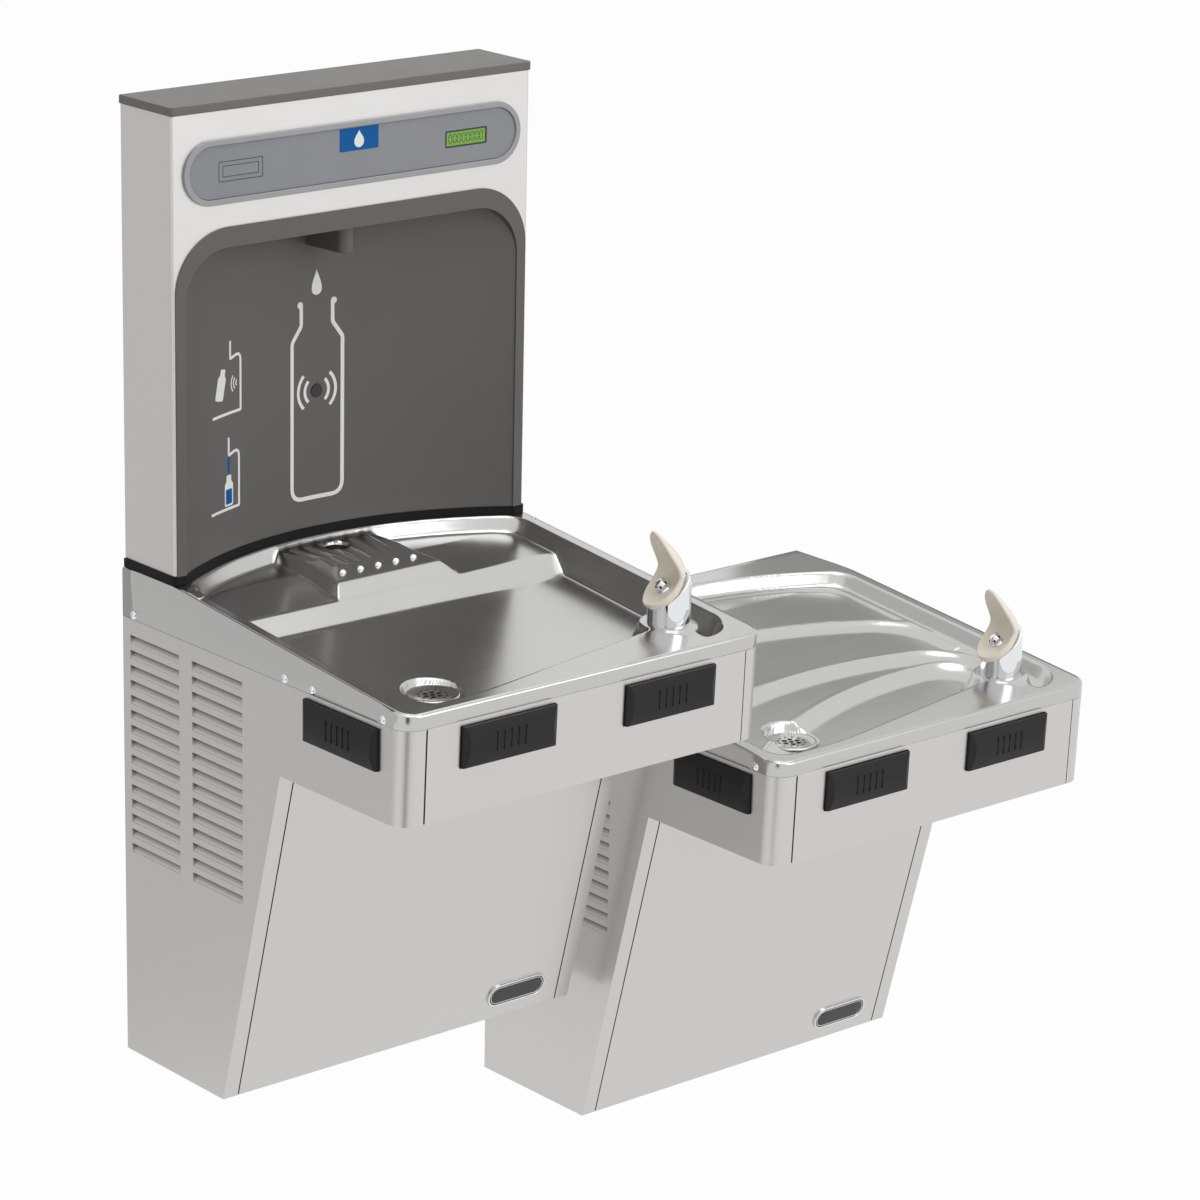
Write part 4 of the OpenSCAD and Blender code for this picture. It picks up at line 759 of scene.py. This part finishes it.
def on_badge(unit):
    """Takes (across, up, proud) on the sloping panel's badge to the part's metres."""
    z0 = BADGE_UP - MM_H
    y0 = front_y(z0)

    def place(points):
        a, u, p = points[..., 0], points[..., 1], points[..., 2]
        y = y0 - u * math.sin(SLOPE) - p * math.cos(SLOPE)
        return placed(unit, np.stack([BADGE_X + a, y, z0 + u * math.cos(SLOPE) - p * math.sin(SLOPE)], -1))
    return place


badge_dark = moulded("badge_field", (0.022, 0.024, 0.026), 0.3, 900.0, 0.00002)
for unit in UNITS:
    place = on_badge(unit)
    for word, inset, profile in (("rim", 2.4, half_round(2.4, 1.0, 1.6)),
                                 ("line", 8.0, half_round(0.9, 0.35, 1.7))):
        line = pill_line(BADGE_W - inset, BADGE_H - inset)
        bead(f"{unit}_badge_{word}", line, place, profile, "badge")
    face = pill_line(BADGE_W - 2.6, BADGE_H - 2.6)
    rings = ((1.0, 1.55), (0.98, 1.72), (0.6, 1.72), (0.2, 1.72), (0.02, 1.72))
    field = np.stack([lifted(face * share, proud) for share, proud in rings])
    faces = grid_faces(*field.shape[:2], wrap_columns=True) + [[4 * len(face) + k for k in range(len(face))]]
    piece(f"{unit}_badge_field", place(field), faces, "badge", badge_dark)


# Bottle rest's studs and drain, strainers
def dome(name, centre, r, high, unit, slot, tilt=0.0, around=28):
    """A shallow dome on a plane that may tilt with the rim: a quarter circle turned about its axis."""
    turn = np.linspace(0, math.pi / 2, 9)
    profile = [(r * 0.96, -1.5), (r, -0.6)] + [(r * math.cos(a), high * math.sin(a)) for a in turn]
    c, s = math.cos(tilt), math.sin(tilt)

    def place(p):
        x, y, z = p[..., 0], p[..., 1], p[..., 2]
        turned = np.stack([x, y * c - z * s, y * s + z * c], -1)
        return placed(unit, turned + np.array(centre))
    return revolve(name, profile, place, slot, around=around)


stud_z = float(rim_height(np.array(STUD_Y))) - REST_DEEP
for k in range(5):
    dome(f"rest_stud_{k + 1}", ((k - 2) * STUD_PITCH, STUD_Y, stud_z - 0.2), 4.6, 4.4, "tall", "chrome", TILT)
# Painted shade: a black disc down in the drain hole stands for the shade inside it
dome("rest_drain_shade", (0.0, DRAIN_Y, -7.6), DRAIN_R - 0.6, 0.3, "tall", "gasket")


def strainer_plate(unit):
    """A dished disc with a rolled lip, sitting in the pit, with nineteen black discs as painted shade for its
    holes: one in the middle, a ring of six and a ring of twelve."""
    profile = [(0.0, 0.2), (27.8, 0.2), (28.0, 1.4), (27.0, 2.7), (25.2, 2.6), (23.6, 1.9), (12.0, 1.4),
               (0.0, 1.2)]

    def place(p):
        return placed(unit, p + np.array([PIT_X, PIT_Y, PIT_Z]))
    revolve(f"{unit}_strainer_plate", profile, place, "chrome", FINISHES["basin"], around=64)
    ring = [(0.0, 0.0)] + [(8.0 * math.cos(a), 8.0 * math.sin(a)) for a in np.arange(6) * math.pi / 3]
    ring += [(16.0 * math.cos(a), 16.0 * math.sin(a)) for a in np.arange(12) * math.pi / 6 + 0.26]
    for k, (hx, hy) in enumerate(ring):
        centre = (PIT_X + hx, PIT_Y + hy, PIT_Z + 1.45)
        dome(f"{unit}_strainer_hole_shade_{k + 1}", centre, 2.7, 0.12, unit, "gasket", around=20)


for unit in UNITS:
    strainer_plate(unit)

# A black six-sided cap on the head of each side screw: painted shade standing for the recess in its head
SCREW_SHARES, SCREW_Z, SCREW_PROUD = (0.04, 0.589, 0.685, 0.922), -48.0, 2.95
RECESS_SHADE = [(0, -0.9), (1.9, -0.9), (1.9, -0.25), (0, 0.12)]
for unit in UNITS:
    for side, word in ((-1, "left"), (1, "right")):
        for k, share in enumerate(SCREW_SHARES):
            def on_screw(p, unit=unit, side=side, share=share):
                return placed(unit, np.stack([side * (MM_W / 2 + SCREW_PROUD + p[..., 2]),
                                              p[..., 0] * side - share * MM_D, p[..., 1] + SCREW_Z], -1))
            revolve(f"{unit}_screw_recess_{word}_{k + 1}", RECESS_SHADE, on_screw, "gasket", around=6)


# Print on the filler
DECAL_WHITE = moulded("print_white", (0.82, 0.82, 0.80), 0.5, 900.0, 0.0)
DECAL_BLUE = moulded("print_blue", (0.0, 0.10, 0.34), 0.6, 900.0, 0.0, specular_ior_level=0.2)
# Dark print for the outlined box; the same dark draws the display's frame as painted shadow
DARK_PRINT_AND_SHADOW = moulded("print_and_shadow_dark", (0.02, 0.022, 0.02), 0.5, 900.0, 0.0)
ARC_CENTRE, ARC_R = -408.0, 386.0
LABEL_Z, LABEL_FACE = 422.0, -89.5


def on_alcove(points):
    """Takes (x, z, proud) to the alcove's curved back, which is an arc in plan."""
    x, z, proud = points[..., 0], points[..., 1], points[..., 2]
    return placed("tall", np.stack([x, ARC_CENTRE + np.sqrt(ARC_R ** 2 - x ** 2) - proud, z], -1))


def on_label(points):
    """Takes (x, z, proud) to the label panel's flat face."""
    return placed("tall", np.stack([points[..., 0], LABEL_FACE - points[..., 2], points[..., 1]], -1))


def print_line(name, line, width, finish=DECAL_WHITE, place=on_alcove, closed=False, proud=0.16):
    """A printed line: a thin flat profile carried along a path of (across, up)."""
    line = np.asarray(line, float)
    if closed:
        along = np.roll(line, -1, 0) - np.roll(line, 1, 0)
    else:
        along = np.gradient(line, axis=0)
    along /= np.linalg.norm(along, axis=1)[:, None]
    side = np.stack([along[:, 1], -along[:, 0]], -1) * width / 2
    section = ((1, proud), (-1, proud), (-1, -0.05), (1, -0.05))
    rings = np.stack([lifted(line + side * a, b) for a, b in section], 1)
    rows, around = rings.shape[:2]
    faces = grid_faces(rows, around, wrap_rows=closed, wrap_columns=True)
    if not closed:
        faces += [list(range(around))[::-1], [(rows - 1) * around + k for k in range(around)]]
    return piece(name, place(rings), faces, None, finish, smooth=False)


def print_shape(name, outline, finish=DECAL_WHITE, place=on_alcove, proud=0.16):
    """A printed patch: rings of its outline drawn in to its middle, and a side all round."""
    outline = np.asarray(outline, float)
    middle = outline.mean(0)
    steps = ((1.0, -0.05), (1.0, proud), (0.66, proud), (0.33, proud), (0.01, proud))
    rings = np.stack([lifted(middle + (outline - middle) * share, height) for share, height in steps])
    n = len(outline)
    faces = grid_faces(*rings.shape[:2], wrap_columns=True) + [[4 * n + k for k in range(n)]]
    return piece(name, place(rings), faces, None, finish, smooth=False)


def arc_line(centre, r, start, end, count=20):
    """Points on an arc about a centre, between two angles in degrees."""
    turn = np.radians(np.linspace(start, end, count))
    return np.stack([centre[0] + r * np.cos(turn), centre[1] + r * np.sin(turn)], -1)


def corner(a, p, b, r, steps=8):
    """A corner at p between a and b as a quadratic curve, which touches both of its sides where an
    arc of the radius would."""
    u, v = (a - p) / np.linalg.norm(a - p), (b - p) / np.linalg.norm(b - p)
    reach = r / math.tan(math.acos(np.clip(u @ v, -1, 1)) / 2)
    t = np.linspace(0, 1, steps)[:, None]
    return (1 - t) ** 2 * (p + u * reach) + 2 * t * (1 - t) * p + t ** 2 * (p + v * reach)


def rounded(points, radii, steps=8):
    """A closed outline with rounded corners."""
    points = np.asarray(points, float)
    return np.concatenate([corner(points[k - 1], points[k], points[(k + 1) % len(points)], r, steps)
                           for k, r in enumerate(radii)])


def box_line(centre, width, height, r):
    """A closed upright box about a centre, with slightly rounded corners."""
    x, z, w, h = *centre, width / 2, height / 2
    return rounded([(x - w, z - h), (x + w, z - h), (x + w, z + h), (x - w, z + h)], [r] * 4, 3)


def droplet(centre, half, high, count=32):
    """A drop: half a circle below, and sides that run in to a point above by a cosine."""
    t = np.linspace(0, 1, count)
    up = np.stack([half * np.cos(t * math.pi / 2) ** 1.35, (high - half) * t], -1)
    low = arc_line((0, 0), half, 180, 360, count)[1:-1]
    return np.concatenate([low, up, (up * (-1, 1))[::-1][1:]]) + np.array(centre) + (0, half)


def open_path(points, radii):
    """A path whose inner corners are rounded; its two ends stay where they are."""
    points = np.asarray(points, float)
    bends = [corner(*points[k - 1:k + 2], r) for k, r in enumerate(radii, 1)]
    out = np.concatenate([points[:1], *bends, points[-1:]])
    steps = np.hypot(*np.diff(out, axis=0).T)
    way = np.concatenate([[0], np.cumsum(steps)])
    even = np.unique(np.concatenate([way, np.arange(0, way[-1], 3.0)]))
    return np.stack([np.interp(even, way, out[:, k]) for k in (0, 1)], -1)


# A bottle with an open neck and rolled lips, a drop over it and waves about the sensor
half_bottle = [(20.5, 252), (20.5, 229), (33, 212), (33, 41)]
bottle = open_path([(-x, z) for x, z in half_bottle] + half_bottle[::-1], (9, 9, 14, 14, 9, 9))
print_line("print_bottle", bottle, 4.5)
for word, x in (("left", -22.0), ("right", 22.0)):
    print_shape(f"print_lip_{word}", arc_line((x, 251.5), 3.7, 0, 345, 24), proud=0.2)
print_shape("print_droplet", droplet((0, 260), 6.5, 28))
for k, r in enumerate((15.5, 24.5)):
    for word, mid in (("left", 180), ("right", 0)):
        print_line(f"print_wave_{word}_{k + 1}", arc_line((0, 157), r, mid - 46, mid + 46), 3.6)


def small_bottle(centre, lean, scale=1.0):
    """A small bottle's outline about its middle, leaning by an angle."""
    shape = np.array([(-7, -16), (7, -16), (7, 7), (4, 11), (4, 17), (-4, 17), (-4, 11), (-7, 7)], float) * scale
    shape = rounded(shape, [2.5, 2.5, 2.5, 1, 1, 1, 1, 2.5], 5)
    c, s = math.cos(lean), math.sin(lean)
    return shape @ np.array([[c, s], [-s, c]]) + np.array(centre)


# Two small diagrams: a bottle held towards the sensor, and a bottle being filled
for word, (dx, dz) in (("sense", (0.0, 0.0)), ("fill", (-3.0, -102.0))):
    corners = np.array([(-127, 233), (-127, 214), (-110, 219), (-110, 157), (-158, 157)]) + (dx, dz)
    station = open_path(corners, (1.0, 7.0, 1.5))
    print_line(f"print_{word}_station", station, 3.0)
print_shape("print_sense_bottle", small_bottle((-143, 189), -0.25))
for k, r in enumerate((5.0, 9.0, 13.0)):
    print_line(f"print_sense_wave_{k + 1}", arc_line((-112.5, 187), r, 140, 220, 10), 1.6)
print_shape("print_fill_bottle", small_bottle((-130, 74), 0.0))
water = rounded([(-135.2, 60), (-124.8, 60), (-124.8, 76), (-135.2, 76)], [1.5] * 4, 5)
print_shape("print_fill_water", water, DECAL_BLUE, proud=0.24)
print_line("print_fill_stream", [(-130, z) for z in np.linspace(93, 110, 6)], 4.0, DECAL_BLUE)

# Label: a plain blue tile with a drop, an empty outlined box, and the display's digits inside a dark frame, which
# is painted shadow at the window's edges
tile = rounded([(-22, 424.5), (28, 424.5), (28, 448.4), (-22, 448.4)], [0.8] * 4, 3)
print_shape("print_tile", tile, DECAL_BLUE, on_label)
print_shape("print_tile_drop", droplet((3, 427.5), 6.2, 18), DECAL_WHITE, on_label, 0.22)
for k, (w, h) in enumerate(((54.0, 20.0), (44.0, 11.0))):
    box = box_line((-146, LABEL_Z), w, h, 0.5)
    print_line(f"print_box_{k + 1}", box, 0.7, DARK_PRINT_AND_SHADOW, on_label, closed=True)
LCD_X, LCD_W, LCD_H = 143.5, 53.0, 15.5
# Painted shadow: a dark frame all round the display stands for the shade at its window's edges
frame_shadow_line = box_line((LCD_X, LABEL_Z), LCD_W + 0.8, LCD_H + 0.8, 0.6)
print_line("display_frame_shadow", frame_shadow_line, 1.5, DARK_PRINT_AND_SHADOW, on_label, closed=True, proud=0.3)


def display_digits():
    """Eight noughts of six slim bars each: every bar is a flat hexagon raised a little."""
    wide, high, bar = 3.9, 8.6, 0.95
    across, up = wide / 2, high / 4
    bars = [(0, 2 * up, False), (0, -2 * up, False)]
    bars += [(x, z, True) for z in (up, -up) for x in (-across, across)]
    outlines = []
    for k in range(8):
        for x, z, upright in bars:
            reach = (up if upright else across) - 0.25
            inner, half = reach - bar / 2, bar / 2
            hexagon = np.array([(-reach, 0), (-inner, -half), (inner, -half), (reach, 0), (inner, half),
                                (-inner, half)])
            hexagon = hexagon[:, ::-1] * (-1, 1) if upright else hexagon
            outlines.append(hexagon + (LCD_X + (k - 3.5) * 5.9 + x, LABEL_Z + z))
    outlines = np.array(outlines)
    n = len(outlines)
    points = np.concatenate([np.concatenate([outlines, np.full((n, 6, 1), h)], -1) for h in (-0.62, -0.44)], 1)
    faces = []
    for k in range(n):
        low, top = 12 * k, 12 * k + 6
        faces += [[low + j for j in range(6)][::-1], [top + j for j in range(6)]]
        faces += [[low + j, low + (j + 1) % 6, top + (j + 1) % 6, top + j] for j in range(6)]
    dark = moulded("digit_green", (0.03, 0.075, 0.015), 0.4, 900.0, 0.0)
    piece("display_digits", on_label(points), faces, "display", dark, smooth=False)


display_digits()


# Bubbler's post and nozzle
def bubbler_post(unit):
    """A tube that bends over towards the spray above a height, cut by a slanting plane; its rings
    run from the flange up to the cut, and each point's height is its share of the way there."""
    turn = np.linspace(0, 2 * math.pi, 72, endpoint=False)
    share = np.concatenate([[0, 0.02, 0.035, 0.05], np.linspace(0.06, 0.97, 26), [0.99, 1.0, 1.0]])
    radius = np.concatenate([[23.9, 23.9, 23.6, BODY_R + 0.25], np.full(27, BODY_R),
                             [BODY_R - 0.35, BODY_R - 5.0]])
    x = radius[:, None] * np.cos(turn)
    top = CUT_LOW + (x + BODY_R) * math.tan(CUT_ANGLE) - 0.3
    z = -4.0 + share[:, None] * (top + 4.0)
    lean = 54.0 - np.sqrt(54.0 ** 2 - np.clip(z - 38.0, 0, 50) ** 2)
    local = np.stack([x - lean, radius[:, None] * np.sin(turn), z], -1)
    made = closed_sweep(f"{unit}_bubbler_post", at_bubbler(unit, local), "chrome")
    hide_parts(f"{unit}_bubbler_body")


def bubbler_nozzle(unit):
    """A turned nozzle square to the slanting cut: a collar, a waist, a ring and a dome."""
    profile = [(0, 2.0), (4.2, 2.0), (4.2, 3.0), (7.4, 3.2), (7.6, 4.6), (6.6, 5.4), (5.4, 5.9), (5.3, 7.4),
               (6.2, 8.0), (6.5, 9.0), (6.5, 10.6), (6.1, 12.2), (5.1, 13.6), (3.4, 14.6), (1.5, 15.0), (0, 15.05)]
    cx, cz = -BODY_R + 25.4 * math.cos(CUT_ANGLE), CUT_LOW + 25.4 * math.sin(CUT_ANGLE)

    def place(p):
        x, y, z = p[..., 0], p[..., 1], p[..., 2]
        c, s = math.cos(CUT_ANGLE), math.sin(CUT_ANGLE)
        return at_bubbler(unit, np.stack([cx + x * c - z * s, y, cz + x * s + z * c], -1))
    made = revolve(f"{unit}_nozzle", profile, place, "chrome")
    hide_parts(f"{unit}_bubbler_nozzle")
    # Painted shade: five black beads sunk in the dome stand for the shade in its slots
    ball = [(1.35 * math.sin(t), -2.1 * math.cos(t)) for t in np.linspace(0, math.pi, 9)]
    for k in range(5):
        a = k * 2 * math.pi / 5 + 0.3
        slot_at = np.array([5.6 * math.cos(a), 5.6 * math.sin(a), 11.0])
        revolve(f"{unit}_nozzle_slot_shade_{k + 1}", ball, lambda p, at=slot_at: place(p + at), "gasket", around=16)


for unit in UNITS:
    bubbler_post(unit)
    bubbler_nozzle(unit)


# Camera
# Fitted to the photograph: azimuth, elevation and roll in degrees, then the raw fit's lengths.
AZIMUTH, ELEVATION, ROLL = -40.838, 17.231, 1.261
FOCAL_PX, RAW_SCALE, IMAGE_PX, SENSOR = 4402.15, 0.9867, 1200, 36.0
AIM, SHIFT_RIGHT, SHIFT_UP, DISTANCE = np.array([473.0, -200.0, -150.0]), 12.1016, 72.4060, 4803.43
az, el, roll = (math.radians(v) for v in (AZIMUTH, ELEVATION, ROLL))
back = np.array([math.sin(az) * math.cos(el), -math.cos(az) * math.cos(el), math.sin(el)])
right = np.cross(-back, (0.0, 0.0, 1.0))
right /= np.linalg.norm(right)
up = np.cross(right, -back)
aim = AIM + right * SHIFT_RIGHT + up * SHIFT_UP
eye = (aim + back * DISTANCE) * RAW_SCALE / 1000
eye += np.array([-CAB_W / 2, 0.0, HANG_DROP])
turned_right = math.cos(roll) * right + math.sin(roll) * up
turned_up = -math.sin(roll) * right + math.cos(roll) * up
camera = bpy.data.objects.new("camera", bpy.data.cameras.new("camera"))
camera.data.sensor_width = SENSOR
camera.data.lens = FOCAL_PX / IMAGE_PX * SENSOR
camera.data.clip_end = 50.0
camera.matrix_world = Matrix((
    (turned_right[0], turned_up[0], back[0], eye[0]),
    (turned_right[1], turned_up[1], back[1], eye[1]),
    (turned_right[2], turned_up[2], back[2], eye[2]),
    (0, 0, 0, 1),
))
scene.collection.objects.link(camera)
scene.camera = camera

# Light and surroundings
def join(tree, *pairs):
    """Links pairs of (output, input)."""
    for source, target in pairs:
        tree.links.new(source, target)


def highest(tree, *outputs):
    """The highest of several outputs, by a chain of maximum nodes."""
    found = outputs[0]
    for output in outputs[1:]:
        most = tree.nodes.new("ShaderNodeMath")
        most.operation = "MAXIMUM"
        join(tree, (found, most.inputs[0]), (output, most.inputs[1]))
        found = most.outputs[0]
    return found


world = bpy.data.worlds.new("studio")
scene.world = world
world.use_nodes = True
tree = world.node_tree
tree.nodes.clear()
rays = tree.nodes.new("ShaderNodeLightPath").outputs
seen = highest(tree, rays["Is Camera Ray"], rays["Is Glossy Ray"], rays["Is Transmission Ray"])
pick = tree.nodes.new("ShaderNodeMixShader")
join(tree, (seen, pick.inputs[0]))
# White light at two strengths: for diffuse rays, and for what is seen or mirrored
for k, strength in enumerate((0.55, 1.0), 1):
    white = tree.nodes.new("ShaderNodeBackground")
    white.inputs[0].default_value = (1, 1, 1, 1)
    white.inputs[1].default_value = strength
    join(tree, (white.outputs[0], pick.inputs[k]))
join(tree, (pick.outputs[0], tree.nodes.new("ShaderNodeOutputWorld").inputs[0]))


def softbox(name, place, toward, size, watts):
    """An area lamp at a place, turned to face a point."""
    lamp = bpy.data.lights.new(name, "AREA")
    lamp.shape = "RECTANGLE"
    lamp.size, lamp.size_y = size
    lamp.energy = watts
    holder = bpy.data.objects.new(name, lamp)
    scene.collection.objects.link(holder)
    holder.location = place
    holder.rotation_euler = (Vector(toward) - Vector(place)).to_track_quat("-Z", "Y").to_euler()
    return holder


softbox("front_box", (1.2, -3.2, 1.6), (0.3, 0.0, 0.0), (2.4, 2.0), 34)
softbox("top_box", (0.2, -0.9, 3.0), (0.3, -0.2, 0.0), (2.6, 2.0), 26)


def flag(name, corners, tone):
    """A card that only reflections see, as a studio's flags give metal its darker and lighter bands."""
    mesh = bpy.data.meshes.new(name)
    mesh.from_pydata(corners, [], [(0, 1, 2, 3)])
    card = bpy.data.objects.new(name, mesh)
    scene.collection.objects.link(card)
    finish = bpy.data.materials.new(name)
    finish.use_nodes = True
    tree = finish.node_tree
    tree.nodes.clear()
    glow, out = tree.nodes.new("ShaderNodeEmission"), tree.nodes.new("ShaderNodeOutputMaterial")
    glow.inputs[0].default_value = (tone, tone, tone, 1)
    tree.links.new(glow.outputs[0], out.inputs[0])
    mesh.materials.append(finish)
    for kind in ("camera", "diffuse", "shadow", "transmission", "volume_scatter"):
        setattr(card, f"visible_{kind}", False)
    return card


# One card behind the low unit for its basin, one that the round posts see, one at the left for the
# side faces, and two in the gap between the units, close to the tall unit's right side
flag("back_flag", [(0.95, 0.35, -0.25), (1.9, 0.35, -0.25), (1.9, 0.35, 0.42), (0.95, 0.35, 0.42)], 0.4)
flag("post_flag", [(-1.53, -1.29, -0.94), (-1.25, -1.71, -0.94), (-1.25, -1.71, 0.3), (-1.53, -1.29, 0.3)], 0.02)
flag("side_tone", [(-2.2, 0.05, -0.94), (-0.1, 1.15, -0.94), (-0.1, 1.15, 1.6), (-2.2, 0.05, 1.6)], 0.70)
gap_x, gap_top = CAB_W / 2 + 0.003, HANG_DROP
flag("gap_low", [(gap_x, -0.002, gap_top - 0.535), (gap_x, -0.17, gap_top - 0.535),
                 (gap_x, -0.265, gap_top - 0.16), (gap_x, -0.002, gap_top - 0.16)], 0.55)
flag("gap_high", [(gap_x, -0.002, gap_top - 0.15), (gap_x, -0.47, gap_top - 0.15),
                  (gap_x, -0.47, gap_top - 0.06), (gap_x, -0.002, gap_top - 0.06)], 0.55)

FLOOR_Z, FLOOR_HALF, FLOOR_GLOW = -0.95, 30, 0.96
floor_mesh = bpy.data.meshes.new("floor")
floor_corners = [(x * FLOOR_HALF, y * FLOOR_HALF, FLOOR_Z) for x, y in ((-1, -1), (1, -1), (1, 1), (-1, 1))]
floor_mesh.from_pydata(floor_corners, [], [(0, 1, 2, 3)])
floor = bpy.data.objects.new("floor", floor_mesh)
scene.collection.objects.link(floor)
floor_finish = bpy.data.materials.new("floor_white")
floor_finish.use_nodes = True
tree = floor_finish.node_tree
matt = tree.nodes["Principled BSDF"]
matt.inputs["Base Color"].default_value = (0.9, 0.9, 0.9, 1)
matt.inputs["Roughness"].default_value = 0.9
glow = tree.nodes.new("ShaderNodeEmission")
glow.inputs[1].default_value = 1.0
rays = tree.nodes.new("ShaderNodeLightPath").outputs
mostly = tree.nodes.new("ShaderNodeMath")
mostly.operation = "MULTIPLY"
mostly.inputs[1].default_value = FLOOR_GLOW
pick = tree.nodes.new("ShaderNodeMixShader")
join(tree, (highest(tree, rays["Is Camera Ray"], rays["Is Glossy Ray"]), mostly.inputs[0]),
     (mostly.outputs[0], pick.inputs[0]), (matt.outputs[0], pick.inputs[1]), (glow.outputs[0], pick.inputs[2]),
     (pick.outputs[0], tree.nodes["Material Output"].inputs[0]))
floor_mesh.materials.append(floor_finish)

scene.view_settings.view_transform = "Standard"
